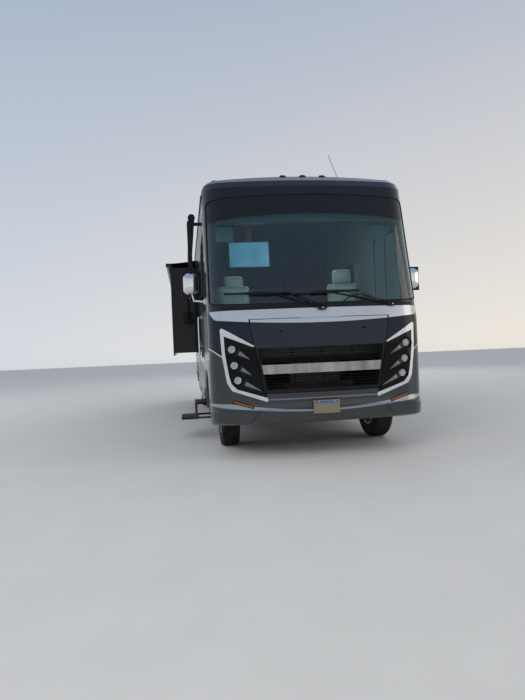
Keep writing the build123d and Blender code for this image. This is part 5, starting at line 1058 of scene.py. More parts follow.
def edge_bead(
    name: str, node: str, wanted: Callable[[Vector, Vector], bool], radius: float, shift: Point = (0, 0, 0)
) -> bpy.types.Object:
    """Lay a round bead along the border of some of a node's faces.

    Args:
        name: the bead's name.
        node: the CAD node.
        wanted: picks the faces by middle and normal.
        radius: the bead's radius.
        shift: how far the bead stands off the border.

    Returns:
        The bead as a mesh.
    """
    clear_selection()
    mesh = bpy.data.meshes.new(name)
    form = bmesh.new()
    form.from_mesh(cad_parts[node].data)
    bmesh.ops.remove_doubles(form, verts=form.verts, dist=1e-5)
    form.normal_update()
    kept = {face for face in form.faces if wanted(face.calc_center_median(), face.normal)}
    inner = [edge for edge in form.edges if sum(face in kept for face in edge.link_faces) != 1]
    bmesh.ops.delete(form, geom=inner, context="EDGES_FACES")
    bmesh.ops.delete(form, geom=[vertex for vertex in form.verts if not vertex.link_edges], context="VERTS")
    bmesh.ops.translate(form, verts=form.verts, vec=Vector(shift))
    form.to_mesh(mesh)
    form.free()
    piece = bpy.data.objects.new(name, mesh)
    bpy.context.scene.collection.objects.link(piece)
    take(piece)
    return beaded(name, radius)


def face_back(across: float) -> float:
    """Return how far the bowed front face falls back at a distance from the centre line."""
    across = abs(across)
    if across <= BOW_HALF:
        return BOW_RADIUS - math.sqrt(BOW_RADIUS ** 2 - across * across)
    return CORNER_BACK - math.sqrt(max(CORNER_RADIUS ** 2 - (across - CORNER_ACROSS) ** 2, 0.0))


def nose_y(across: float, height: float) -> float:
    """Return where the nose's skin lies along the body at a place seen from ahead."""
    for (low, at_low), (top, at_top) in zip(NOSE_ROWS, NOSE_ROWS[1:]):
        if low <= height <= top:
            return FRONT + at_low + (at_top - at_low) * (height - low) / (top - low) + face_back(across)
    raise ValueError("height outside the nose")


def ribbon(
    name: str, points: Sequence[Point], half: float, proud: float, depth: float, steps: int = 48
) -> bpy.types.Object:
    """Return a thin strip that follows the nose's skin.

    Args:
        name: the strip's name.
        points: its two ends as (across, height).
        half: half its width.
        proud: how far its face stands off the skin.
        depth: its thickness.
        steps: how many parts it has along its length.

    Returns:
        The strip.
    """
    clear_selection()
    bpy.ops.mesh.primitive_grid_add(x_subdivisions=steps, y_subdivisions=1, size=1)
    piece = bpy.context.object
    start, end = Vector(points[0]), Vector(points[1])
    side = (end - start).normalized().orthogonal()
    for vertex in piece.data.vertices:
        spot = start.lerp(end, vertex.co.x + 0.5) + side * (2 * half * vertex.co.y)
        vertex.co = (spot.x, nose_y(spot.x, spot.y) - proud, spot.y)
    edit_all()
    bpy.ops.mesh.normals_make_consistent(inside=False)
    leave()
    if piece.data.polygons[0].normal.y > 0:
        piece.data.flip_normals()
    work(piece, "SOLIDIFY", thickness=depth, offset=-1)
    soften(piece, min(half, depth) * 0.3, 2)
    return named(name)


@dataclass
class Studio:
    """Camera, floor, sky and lamps."""

    camera_place: Point = (-1.538, -10.959, 1.258)
    yaw: float = 7.67
    pitch: float = -0.09
    roll: float = -2.40
    lens: float = 29.165
    floor_half: float = 60.0

    def build(self) -> None:
        """Set the camera, the floor, the sky and the lamps."""
        self.aim_camera()
        self.lay_floor()
        self.light_sky()
        self.hang_lamps()
        bpy.context.scene.view_settings.view_transform = "Standard"

    def aim_camera(self) -> None:
        """Stand the camera where the photograph was taken."""
        yaw, pitch, roll = (math.radians(value) for value in (self.yaw, self.pitch, self.roll))
        ahead = Vector((math.sin(yaw) * math.cos(pitch), math.cos(yaw) * math.cos(pitch), math.sin(pitch)))
        right = Vector((math.cos(yaw), -math.sin(yaw), 0))
        up = right.cross(ahead)
        right, up = (math.cos(roll) * right + math.sin(roll) * up, -math.sin(roll) * right + math.cos(roll) * up)
        data = bpy.data.cameras.new("camera")
        data.lens = self.lens
        data.clip_end = 300
        camera = bpy.data.objects.new("camera", data)
        camera.matrix_world = Matrix.Translation(self.camera_place) @ Matrix((right, up, -ahead)).transposed().to_4x4()
        bpy.context.scene.collection.objects.link(camera)
        bpy.context.scene.camera = camera

    def lay_floor(self) -> None:
        """Lay a wide pale floor."""
        clear_selection()
        bpy.ops.mesh.primitive_grid_add(x_subdivisions=8, y_subdivisions=8, size=2 * self.floor_half)
        floor = named("studio_floor")
        material, bench, shader = blank_material("studio_floor")
        tone = bench.spread(bench.noise(bench.place(), 1.5, 6.0, 0.6), 0.3, 0.7, 0.97, 1.03)
        bench.feed(shader.inputs["Base Color"], bench.tint(rgba((0.62, 0.615, 0.60)), tone))
        shader.inputs["Roughness"].default_value = 0.85
        floor.data.materials.append(material)

    def light_sky(self) -> None:
        """Light the world with a soft sky, and show a pale one behind and in reflections."""
        world = bpy.data.worlds.new("studio_sky")
        world.use_nodes = True
        bpy.context.scene.world = world
        bench = NodeBench(world.node_tree)
        background = next(node for node in world.node_tree.nodes if node.type == "BACKGROUND")
        direction = bench.add("ShaderNodeTexCoord").outputs["Generated"]
        right, _, rise = bench.split(direction)
        horizon = bench.blend(bench.spread(right, -0.35, 0.95), rgba((0.72, 0.76, 0.82)), rgba((1.0, 0.90, 0.76)))
        shown = bench.blend(bench.spread(rise, 0.02, 0.75), horizon, rgba((0.30, 0.40, 0.58)))
        shown = bench.blend(bench.spread(rise, -0.25, 0.0), rgba((0.42, 0.41, 0.39)), shown)
        rays = bench.add("ShaderNodeLightPath")
        seen = bench.maths("MAXIMUM", rays.outputs["Is Camera Ray"], bench.maths(
            "MAXIMUM", rays.outputs["Is Glossy Ray"], rays.outputs["Is Transmission Ray"]))
        bench.feed(background.inputs["Color"], bench.blend(seen, rgba((0.60, 0.64, 0.70)), shown))
        bench.feed(background.inputs["Strength"], bench.spread(seen, 0.0, 1.0, 0.95, 0.92))

    def hang_lamps(self) -> None:
        """Hang soft lamps ahead, at both sides, behind and in the cab."""
        for name, place, aim, size, power, color in (
            ("key_lamp", (-7, -15, 9), (0, -4, 1.5), 9.0, 640, (1.0, 0.98, 0.95)),
            ("warm_lamp", (14, -10, 4.5), (0, -2, 1.5), 12.0, 520, (1.0, 0.86, 0.70)),
            ("rear_lamp", (6, 15, 9), (0, 3, 1.5), 9.0, 420, (0.95, 0.97, 1.0)),
            ("side_lamp", (-13, 3, 7), (0, 1, 1.5), 8.0, 300, (0.95, 0.97, 1.0)),
            ("cabin_lamp", (0, FRONT + 1.05, 2.88), (0, FRONT + 1.75, 1.7), 0.9, 15, (1.0, 0.98, 0.95)),
        ):
            data = bpy.data.lights.new(name, "AREA")
            data.energy, data.color, data.size, data.shape = power, color, size, "DISK"
            lamp = bpy.data.objects.new(name, data)
            lamp.location = place
            lamp.visible_glossy = name == "warm_lamp"
            lamp.visible_camera = lamp.visible_transmission = False
            lamp.rotation_euler = (Vector(place) - Vector(aim)).to_track_quat("Z", "Y").to_euler()
            bpy.context.scene.collection.objects.link(lamp)


@dataclass
class LampPods:
    """Lamps of the nose: stepped bezels, bright bowls, domed lenses and the wedges beside them."""

    places: tuple[Point, ...] = ((1.029, 1.267), (1.007, 1.084), (0.972, 0.913))
    ring: float = 0.073
    lens: float = 0.042
    depth: float = 0.07
    wedge_length: tuple[float, ...] = (0.20, 0.19, 0.26)
    wedge_turn: tuple[float, ...] = (-28.0, -28.0, -24.0)

    def build(self) -> None:
        """Make the lamps of both sides."""
        bezels, bowls, lenses, wedges, tips = [], [], [], [], []
        for (across, height), length, turn in zip(self.places, self.wedge_length, self.wedge_turn):
            centre = (across, nose_y(across, height), height)
            bezels.append(self.bezel(centre))
            bowls.append(self.bowl(centre))
            lenses.append(self.dome(centre))
            wedge, tip = self.wedge(centre, length, turn)
            wedges.append(wedge)
            tips.append(tip)
        for name, made, finish, nodes in (
            ("lamp_bezels", bezels, POD_BLACK, ("headlamps",)), ("lamp_bowls", bowls, LAMP_CHROME, ()),
            ("lamp_lenses", lenses, LAMP_GLASS, ()), ("lamp_wedges", wedges, POD_BLACK, ()),
            ("wedge_facets", tips, WEDGE_SILVER, ()),
        ):
            both_sides(name, made, finish, nodes)

    def bezel(self, centre: Point) -> bpy.types.Object:
        """Return a ring with two steps that fall in to the lens."""
        ring, lens = self.ring, self.lens
        return turned("bezel", [
            (self.depth, ring), (-0.002, ring), (-0.006, ring - 0.004), (-0.006, ring - 0.009),
            (0.004, ring - 0.014), (0.002, lens + 0.008), (-0.003, lens + 0.005), (-0.003, lens + 0.001),
            (0.012, lens - 0.001), (self.depth, lens - 0.001),
        ], centre, (0, 1, 0), 48)

    def bowl(self, centre: Point) -> bpy.types.Object:
        """Return a deep bright bowl with its bulb shield."""
        lens = self.lens
        bowl = turned("bowl", [
            (0.010, lens - 0.001), (0.012, lens - 0.004), (0.030, lens * 0.72), (0.044, lens * 0.34),
            (0.048, 0.0), (0.052, 0.0), (0.050, lens * 0.5), (0.032, lens - 0.004),
        ], centre, (0, 1, 0), 32)
        bulb = turned("bulb", [
            (0.016, 0.0), (0.017, 0.008), (0.021, 0.013), (0.040, 0.014), (0.047, 0.012), (0.047, 0.0),
        ], centre, (0, 1, 0), 24)
        return joined("bowl", [bowl, bulb])

    def dome(self, centre: Point) -> bpy.types.Object:
        """Return a thin domed lens."""
        lens = self.lens
        return turned("dome", [
            (-0.006, 0.0), (-0.005, lens * 0.45), (-0.001, lens * 0.8), (0.006, lens * 0.985), (0.009, lens * 0.985),
            (0.003, lens * 0.78), (-0.001, lens * 0.43), (-0.002, 0.0),
        ], centre, (0, 1, 0), 36)

    def wedge(self, centre: Point, length: float, turn: float) -> tuple[bpy.types.Object, bpy.types.Object]:
        """Return a tapered blade that runs from a lamp down to the hood, and the bright facet on it.

        Args:
            centre: the lamp's centre.
            length: how far the blade reaches from the lamp's ring.
            turn: its slope towards the centre line, in degrees.

        Returns:
            The blade and the facet.
        """
        parts = []
        for start, end, wide, thin, deep, proud in (
            (0.055, 0.06 + length, 0.046, 0.004, 0.02, 0.007), (0.09, 0.035 + length, 0.024, 0.002, 0.012, 0.0115),
        ):
            piece = block("wedge", (start, -proud, -wide), (end, deep - proud, wide))
            pick(piece, lambda middle, normal: normal.x > 0.9)
            bpy.ops.transform.resize(value=(1, 0.55, thin / wide), center_override=(end, deep, -wide * 0.55))
            bpy.ops.mesh.select_all(action="SELECT")
            bpy.ops.mesh.subdivide(number_cuts=2)
            leave()
            soften(piece, 0.0022, 2)
            piece.data.transform(Matrix.Rotation(math.radians(-turn), 4, "Y"))
            for vertex in piece.data.vertices:
                across, height = centre[0] - vertex.co.x, centre[2] + vertex.co.z
                vertex.co = (across, nose_y(across, height) + vertex.co.y, height)
            piece.data.flip_normals()
            parts.append(piece)
        return parts[0], parts[1]


@dataclass
class NoseFittings:
    """Small things on the nose: blank plate, washer jets, wiper nuts and the windshield seal."""

    plate_centre: tuple[float, float] = (0.015, 0.58)
    plate_size: tuple[float, float] = (0.305, 0.152)
    jets: tuple[Point, ...] = ((-0.468, 1.452), (0.505, 1.462))

    def build(self) -> None:
        """Make the fittings."""
        self.plate()
        self.washer_jets()
        self.nuts()
        bead = edge_bead("windshield_seal", "windshield", self.is_outer_glass, 0.011)
        finished(bead, RUBBER, smooth=60)

    def is_outer_glass(self, middle: Vector, normal: Vector) -> bool:
        """Say if a face is on the outside of the windshield."""
        return normal.y < -0.2 or (abs(normal.x) > 0.7 and normal.x * middle.x > 0)

    def plate(self) -> None:
        """Make a blank plate with a rolled rim, a coloured top band and two bolts."""
        across, height = self.plate_centre
        half_width, half_height = self.plate_size[0] / 2, self.plate_size[1] / 2
        face = FRONT - 0.006
        plate = soft_block("number_plate", (across - half_width, face, height - half_height),
                           (across + half_width, face + 0.0035, height + half_height), 0.012, 4, SHARP_ONLY)
        panelled(plate, (0, -1, 0), 0.006, (0, 0.0012, 0))
        band = soft_block("plate_band", (across - half_width + 0.014, face - 0.0004, height + half_height * 0.52),
                          (across + half_width - 0.014, face + 0.001, height + half_height - 0.012), 0.0003, 1)
        bolts = [turned("bolt", [(-0.005, 0.0), (-0.0045, 0.0055), (-0.0015, 0.0075), (0.001, 0.0075), (0.001, 0.0)],
                        (across + shift, face, height + half_height - 0.02), (0, 1, 0), 12)
                 for shift in (-0.09, 0.09)]
        bracket = soft_block("plate_bracket", (across - half_width * 0.8, face + 0.0035, height - half_height * 0.7),
                             (across + half_width * 0.8, FRONT + 0.045, height + half_height * 0.7), 0.004, 2)
        finished(plate, PLATE_TAN)
        finished(band, PLATE_BLUE)
        finished(joined("plate_bolts", bolts), TRIM_SILVER)
        finished(bracket, GRILLE_BLACK)

    def washer_jets(self) -> None:
        """Make the two washer jets on the hood."""
        jets = []
        for across, height in self.jets:
            centre = (across, nose_y(across, height), height)
            jets.append(turned("jet", [(-0.016, 0.0), (-0.016, 0.006), (-0.009, 0.012), (0.001, 0.014), (0.004, 0.0)],
                               centre, (0, 1, 0.12), 20))
            jets.append(rod("jet_nose", (across, centre[1] - 0.014, height),
                            (across, centre[1] - 0.024, height + 0.007), 0.0035, 10))
        finished(joined("washer_jets", jets), GRILLE_BLACK, body="hood_hatch")

    def nuts(self) -> None:
        """Make the bright nuts on the wiper pivots."""
        nuts = [turned("nut", [(-0.012, 0.0), (-0.011, 0.008), (-0.004, 0.011), (0.004, 0.012), (0.004, 0.0)],
                       (across, nose_y(across, height) - 0.038, height), (0, 1, 0), 6)
                for across, height in WIPER_HUBS]
        finished(joined("wiper_nuts", nuts), MIRROR_CHROME)


@dataclass
class Tyres:
    """Road tyres with ribs, shoulder lugs, bead rings and a moulded side."""

    radius: float = 0.470
    width: float = 0.236
    bead: float = 0.2863
    steps: int = 120
    groove: float = 0.011
    rib_edges: tuple[tuple[float, float], ...] = ((-0.092, -0.060), (-0.052, -0.022), (-0.014, 0.014), (0.022, 0.052),
                                                  (0.060, 0.092))
    front_middle: tuple[float, ...] = (1.012,)
    rear_middles: tuple[float, ...] = (0.784, 1.092)

    def build(self) -> None:
        """Make a tyre for every wheel, two for a twin wheel."""
        for place, side, axle in WHEELS:
            middles = self.front_middle if axle == FRONT_AXLE else self.rear_middles
            made = [self.tyre(side * middle, axle) for middle in middles]
            finished(joined(f"road_tyre_{place}", made), TYRE_RUBBER, f"wheel_{place}", (f"tyre_{place}",), 40)

    def profile(self) -> list[tuple[float, float]]:
        """Return the tyre's section as (across, radius) points, right round."""
        half, top = self.width / 2, self.radius
        floor, crest = top - self.groove, top - 0.0008
        tread = []
        for low, high in self.rib_edges:
            tread += [(low, floor), (low + 0.002, crest), (high - 0.002, crest), (high, floor)]
        tread = tread[1:-1]
        side = [(half - 0.004, top - 0.022), (half - 0.0005, top - 0.045), (half - 0.006, top - 0.052),
                (half - 0.0015, top - 0.085), (half - 0.003, self.bead + 0.06), (half - 0.014, self.bead + 0.034),
                (half - 0.012, self.bead + 0.026), (half - 0.026, self.bead + 0.014), (half - 0.034, self.bead)]
        return tread + side + [(-across, radius) for across, radius in reversed(side)]

    def tyre(self, across: float, axle: float) -> bpy.types.Object:
        """Return one tyre with its shoulder lugs cut.

        Args:
            across: where its middle lies.
            axle: where its axle lies along the body.

        Returns:
            The tyre.
        """
        centre = Vector((across, axle, AXLE_HEIGHT))
        piece = turned("tyre", self.profile(), centre, (1, 0, 0), self.steps)

        def is_gap(middle: Vector, normal: Vector) -> bool:
            """Say if a face is between two lugs at the shoulder."""
            spot = middle - centre
            turn = math.degrees(math.atan2(spot.z, spot.y)) % 360
            step = int(turn / (360 / self.steps))
            out = math.hypot(spot.y, spot.z)
            return step % 3 == 0 and abs(spot.x) > 0.061 and out > self.radius - 0.03 and abs(spot.x) < 0.1165

        pick(piece, is_gap)
        bpy.ops.mesh.extrude_region_shrink_fatten(TRANSFORM_OT_shrink_fatten={"value": -0.006})
        leave()
        return piece


@dataclass
class NoseStrips:
    """Strips that follow the nose's skin: the bright line under the grille and the cap's seams."""

    line_half: float = 0.645
    line_height: float = 0.681

    def build(self) -> None:
        """Make the strips."""
        line = ribbon("grille_line", [(-self.line_half, self.line_height), (self.line_half, self.line_height)],
                      0.010, 0.008, 0.012)
        finished(line, WEDGE_SILVER)
        cowl = ribbon("cowl_strip", [(-1.13, 1.735), (1.13, 1.735)], 0.016, 0.006, 0.008)
        finished(cowl, RUBBER)
        seams = []
        for side in (-1, 1):
            seams.append(ribbon("seam", [(side * 1.04, 3.205), (side * 0.93, 3.115)], 0.0035, 0.0035, 0.004, 10))
            seams.append(ribbon("seam", [(side * 0.729, 0.543), (side * 0.836, 0.442)], 0.0018, 0.0012, 0.002, 8))
        finished(joined("skin_seams", seams), RUBBER)


@dataclass
class AmberLamps:
    """Domed marker lamps on the cap and slim signals sunk beside the bumper."""

    markers: tuple[float, ...] = (-1.100, -0.251, 0.0, 0.251, 1.100)
    signal: tuple[Point, Point] = ((0.803, 0.603), (1.037, 0.673))

    def build(self) -> None:
        """Make the lamps in place of the plain ones."""
        domes, feet = [], []
        for across in self.markers:
            spots = [vertex.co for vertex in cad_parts["amber_lamps"].data.vertices
                     if abs(vertex.co.x - across) < 0.06 and vertex.co.z > 2.5]
            top = max(spot.z for spot in spots)
            middle = sum(spot.y for spot in spots) / len(spots)
            dome = block("dome", (across - 0.046, middle - 0.018, top - 0.026), (across + 0.046, middle + 0.018, top))
            tapered(dome, (0, 0, 1), (0.62, 0.5, 1), (across, middle, top))
            soften(dome, 0.010, 4)
            domes.append(dome)
            foot = soft_block("foot", (across - 0.050, middle - 0.021, top - 0.034),
                              (across + 0.050, middle + 0.021, top - 0.020), 0.005, 3)
            feet.append(foot)
        beds, strips = [], []
        for side in (-1, 1):
            ends = [(side * across, height) for across, height in self.signal]
            beds.append(ribbon("bed", ends, 0.019, 0.0035, 0.006, 16))
            (low_x, low_z), (top_x, top_z) = ends
            inner = [(low_x + side * 0.012, low_z + 0.0035), (top_x - side * 0.012, top_z - 0.0035)]
            strips.append(ribbon("strip", inner, 0.0095, 0.0065, 0.006, 16))
        finished(joined("marker_domes", domes), MARKER_AMBER, stands_for=("amber_lamps",))
        finished(joined("marker_feet", feet), RUBBER)
        finished(joined("signal_beds", beds), POD_BLACK)
        finished(joined("signal_strips", strips), AMBER)


@dataclass
class WiperDetails:
    """Second rods, elbow blocks and spoilers of the wipers."""

    rods: tuple[tuple[Point, Point], ...] = (((0.066, 1.716), (-0.330, 1.893)), ((0.921, 1.740), (0.270, 1.898)))
    ends: tuple[Point, ...] = ((-0.520, 1.890), (0.120, 1.888))
    blades: tuple[tuple[Point, Point], ...] = (((-1.083, 1.905), (-0.316, 1.884)), ((-0.284, 1.872), (0.500, 1.902)))
    proud: float = 0.030
    spoilers: tuple[tuple[float, float], ...] = ((0.20, 0.014), (0.12, 0.019))

    def spot(self, place: Point, proud: float) -> Vector:
        """Return a point that stands off the glass."""
        return Vector((place[0], nose_y(place[0], place[1]) - proud, place[1]))

    def build(self) -> None:
        """Make both wipers' extra pieces."""
        made = []
        for hub, (start, end), elbow, (tip, heel) in zip(WIPER_HUBS, self.rods, self.ends, self.blades):
            made.append(rod("rod", self.spot(start, self.proud), self.spot(end, self.proud), 0.0055, 12))
            made.append(rod("link", self.spot(hub, self.proud), self.spot(start, self.proud), 0.010, 12))
            made.append(rod("bridge", self.spot(elbow, 0.034), self.spot(end, 0.034), 0.008, 12))
            middle = Vector(tip).lerp(Vector(heel), 0.5)
            for reach, radius in self.spoilers:
                way = (Vector(heel) - Vector(tip)).normalized() * reach
                made.append(rod("spoiler", self.spot(middle - way, 0.026), self.spot(middle + way, 0.026), radius, 10))
            for place in (hub, start):
                made.append(turned("cap", [(-0.044, 0.0), (-0.043, 0.014), (-0.036, 0.019), (-0.006, 0.021),
                                           (-0.006, 0.0)], self.spot(place, 0.0), (0, 1, 0), 18))
        finished(joined("wiper_linkage", made), WIPER_BLACK)


@dataclass
class Mirrors:
    """Side mirrors: tapered bright heads, dark rims, glass, arms and feet."""

    low: Point = (1.325, FRONT + 0.792, 1.957)
    high: Point = (1.556, FRONT + 0.925, 2.262)
    foot: Point = (1.276, FRONT + 0.875, 1.885)

    def build(self) -> None:
        """Make both mirrors in place of the plain ones."""
        low, high = Vector(self.low), Vector(self.high)
        head = block("mirror_heads", low, high)
        centre = ((low.x + high.x) / 2 + 0.01, low.y, (low.z + high.z) / 2)
        tapered(head, (0, -1, 0), (0.62, 1, 0.66), centre)
        soften(head, 0.055, 7, 20)
        recessed(head, (0, 1, 0), 0.010, (0, -0.010, 0), 0.95)
        rim = soft_block("mirror_rims", (low.x - 0.003, high.y - 0.030, low.z - 0.003),
                         (high.x + 0.003, high.y - 0.012, high.z + 0.003), 0.055, 7, SHARP_ONLY)
        arms = []
        start, mid = Vector(self.foot), Vector((1.408, self.foot[1], 1.897))
        top = Vector((1.432, self.foot[1] - 0.01, 1.975))
        arms.append(rod("arm", start + Vector((0.01, 0, 0)), mid, 0.0145))
        arms.append(rod("arm", mid, top, 0.0145))
        arms.append(turned("elbow", [(-0.016, 0.0), (-0.011, 0.011), (0.0, 0.016), (0.011, 0.011), (0.016, 0.0)],
                           mid, (1, 0, 0), 20))
        arms.append(turned("foot", [(-0.002, 0.0), (-0.002, 0.042), (0.006, 0.042), (0.013, 0.032), (0.022, 0.02),
                                    (0.022, 0.0)], start, (1, 0, 0), 28))
        glass = soft_block("mirror_glass", (low.x + 0.022, high.y - 0.0105, low.z + 0.022),
                           (high.x - 0.022, high.y - 0.0065, high.z - 0.022), 0.035, 5, SHARP_ONLY)
        for name, made, finish, nodes in (
            ("mirror_heads", [head], MIRROR_CHROME, ("mirrors",)), ("mirror_rims", [rim], RUBBER, ()),
            ("mirror_arms", arms, MIRROR_CHROME, ()), ("mirror_glass", [glass], LAMP_CHROME, ()),
        ):
            both_sides(name, made, finish, nodes)


@dataclass
class WindowTrims:
    """Rubber seals round the side windows and the middle bars of the sliding ones."""

    bead: float = 0.0085
    panes: tuple[tuple[str, str], ...] = (
        ("side_glass", "coach"), ("slide_glass_left", "slide_room_left"), ("slide_glass_right", "slide_room_right"),
        ("entry_door_glass", "door"),
    )

    def build(self) -> None:
        """Make the seals and bars."""
        for node, body in self.panes:
            seal = edge_bead(f"{node}_seal", node, lambda middle, normal: normal.x * middle.x > abs(middle.x) * 0.9,
                             self.bead)
            finished(seal, RUBBER, body, smooth=60)
        for side, name in ((1, "left"), (-1, "right")):
            bars = []
            for start, end in ((5.05, 6.25), (6.75, 7.75)):
                middle = FRONT + (start + end) / 2
                bar = soft_block("bar", (side * 1.766 - 0.004, middle - 0.014, 1.905),
                                 (side * 1.766 + 0.004, middle + 0.014, 2.545), 0.002, 2)
                bars.append(bar)
            finished(joined(f"slide_window_bars_{name}", bars), RUBBER, f"slide_room_{name}")
        bars = []
        for side, start, end, low, high in ((1, 2.45, 3.65, 1.85, 2.60), (-1, 3.15, 4.05, 1.95, 2.60),
                                            (1, 0.90, 1.79, 1.78, 2.76), (-1, 0.90, 1.79, 1.78, 2.76)):
            middle = FRONT + (start + end) / 2
            bar = soft_block("bar", (side * 1.271 - 0.004, middle - 0.013, low + 0.005),
                             (side * 1.271 + 0.004, middle + 0.013, high - 0.005), 0.002, 2)
            bars.append(bar)
        finished(joined("side_window_bars", bars), RUBBER)


@dataclass
class SideFittings:
    """Handle, grab rail, marker lamps, filler door and gutters of the sides."""

    def build(self) -> None:
        """Make the side fittings."""
        self.door_handle()
        self.grab_rail()
        self.markers()
        self.filler_door()
        self.gutters()

    def door_handle(self) -> None:
        """Make the entry door's paddle handle and lock."""
        back, height, face = FRONT + 2.565, 1.24, -1.289
        plate = block("door_handle", (face - 0.006, back - 0.045, height - 0.075),
                      (face + 0.010, back + 0.045, height + 0.075))
        recessed(plate, (-1, 0, 0), 0.014, (0.010, 0, 0))
        soften(plate, 0.003, 3)
        paddle = soft_block("paddle", (face - 0.012, back - 0.026, height - 0.045),
                            (face - 0.004, back + 0.030, height + 0.045), 0.004, 3)
        lock = turned("lock", [(-0.010, 0.0), (-0.010, 0.014), (-0.007, 0.018), (0.010, 0.020), (0.010, 0.0)],
                      (face, back, height + 0.135), (1, 0, 0), 24)
        finished(joined("door_handle", [plate, lock]), GRILLE_BLACK, "door")
        finished(paddle, MIRROR_CHROME, "door")

    def grab_rail(self) -> None:
        """Make the bright rail behind the entry door."""
        back, out = FRONT + 2.76, -1.325
        parts = [rod("rail", (out, back, 1.22), (out, back, 1.80), 0.0125)]
        for height in (1.22, 1.80):
            parts.append(rod("stay", (-1.276, back, height), (out - 0.006, back, height), 0.0125))
            parts.append(turned("foot", [(-0.010, 0.0), (-0.010, 0.020), (-0.004, 0.030), (0.002, 0.030), (0.002, 0.0)],
                                (-1.275, back, height), (1, 0, 0), 24))
        finished(joined("grab_rail", parts), MIRROR_CHROME)

    def markers(self) -> None:
        """Make the small side marker lamps."""
        for name, back, height, finish in (
            ("side_markers", 0.50, 1.262, AMBER), ("rear_side_markers", 9.05, 1.16, RED),
        ):
            lens = soft_block("lens", (1.272, FRONT + back - 0.032, height - 0.016),
                              (1.287, FRONT + back + 0.032, height + 0.016), 0.006, 3)
            both_sides(name, [lens], finish)

    def filler_door(self) -> None:
        """Make the fuel filler's door behind the rear wheel on the driver's side."""
        lid = soft_block("filler_door", (1.272, FRONT + 7.36, 1.005),
                         (1.2795, FRONT + 7.56, 1.175), 0.02, 4, SHARP_ONLY)
        panelled(lid, (1, 0, 0), 0.006, (0.001, 0, 0))
        catch = turned("catch", [(0.002, 0.0), (0.002, 0.010), (0.0095, 0.010), (0.0095, 0.0)],
                       (1.274, FRONT + 7.53, 1.09), (1, 0, 0), 20)
        finished(joined("filler_door", [lid, catch]), SLIDE_PAINT)

    def gutters(self) -> None:
        """Make the drip rails along the roof's edges."""
        rail = block("gutters", (1.262, FRONT + 0.80, 3.175), (1.287, FRONT + 9.02, 3.192))
        recessed(rail, (0, 0, 1), 0.004, (0, 0, -0.009))
        soften(rail, 0.0015, 2)
        both_sides("gutters", [rail], GRILLE_BLACK)


@dataclass
class WheelDetails:
    """Lug nuts, hub caps and valve stems of the wheels."""

    lugs: int = 8
    circle: float = 0.143

    def face(self, node: str, axle: float, low: float, high: float) -> float:
        """Return how far out a rim's face lies in a ring.

        Args:
            node: the rim's name.
            axle: the axle's place along the body.
            low: the ring's inner radius.
            high: the ring's outer radius.

        Returns:
            The outer distance from the centre line.
        """
        found = [abs(vertex.co.x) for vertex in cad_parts[node].data.vertices
                 if low <= math.hypot(vertex.co.y - axle, vertex.co.z - AXLE_HEIGHT) <= high]
        return max(found) if found else 1.1

    def build(self) -> None:
        """Make the details of all four wheels."""
        for place, side, axle in WHEELS:
            out = self.face(f"rim_{place}", axle, 0.10, 0.18)
            made = []
            for step in range(self.lugs):
                turn = math.tau * (step + 0.5) / self.lugs
                spot = (side * out, axle + self.circle * math.cos(turn), AXLE_HEIGHT + self.circle * math.sin(turn))
                made.append(turned("lug", [(-0.004, 0.0), (-0.004, 0.019), (0.003, 0.019), (0.006, 0.0145),
                                           (0.030, 0.0135), (0.037, 0.009), (0.040, 0.0)], spot, (side, 0, 0), 12))
            made.append(turned("stem", [(0.0, 0.0), (0.0, 0.006), (0.022, 0.005), (0.034, 0.004), (0.036, 0.0)],
                               (side * out, axle, AXLE_HEIGHT + 0.232), (side, 0, -0.35), 10))
            finished(joined(f"lug_nuts_{place}", made), MIRROR_CHROME, f"wheel_{place}")
            nose = self.face(f"rim_{place}", axle, 0.0, 0.09)
            cap = turned(f"hub_cap_{place}", [
                (-0.010, 0.0), (-0.010, 0.098), (-0.002, 0.100), (0.004, 0.094), (0.006, 0.078), (0.022, 0.070),
                (0.034, 0.062), (0.038, 0.040), (0.040, 0.0),
            ], (side * (nose - 0.02), axle, AXLE_HEIGHT), (side, 0, 0), 48)
            finished(cap, RIM_STEEL, f"wheel_{place}")


@dataclass
class Toppers:
    """Fabric covers over the slide rooms, rolled off the wall to a roller."""

    inner: Point = (1.2757, 2.985)
    outer: Point = (1.818, 2.9325)
    start: float = -0.175
    end: float = 3.505
    sag: float = 0.012

    def build(self) -> None:
        """Make both covers as sagging sheets."""
        for side, name in ((1, "left"), (-1, "right")):
            clear_selection()
            bpy.ops.mesh.primitive_grid_add(x_subdivisions=18, y_subdivisions=120, size=1)
            piece = bpy.context.object
            for vertex in piece.data.vertices:
                share, along = vertex.co.x + 0.5, vertex.co.y + 0.5
                across = self.inner[0] + (self.outer[0] - self.inner[0]) * share
                back = self.start + (self.end - self.start) * along
                drop = self.sag * math.sin(math.pi * share) * (0.75 + 0.25 * math.sin(along * 37.0))
                height = self.inner[1] + (self.outer[1] - self.inner[1]) * share - drop
                vertex.co = (side * across, back, height)
            if side < 0:
                piece.data.flip_normals()
            piece.name = f"topper_cover_{name}"
            finished(named(piece.name), TOPPER_CLOTH, stands_for=(f"topper_{name}",), smooth=80)
            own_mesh(piece)


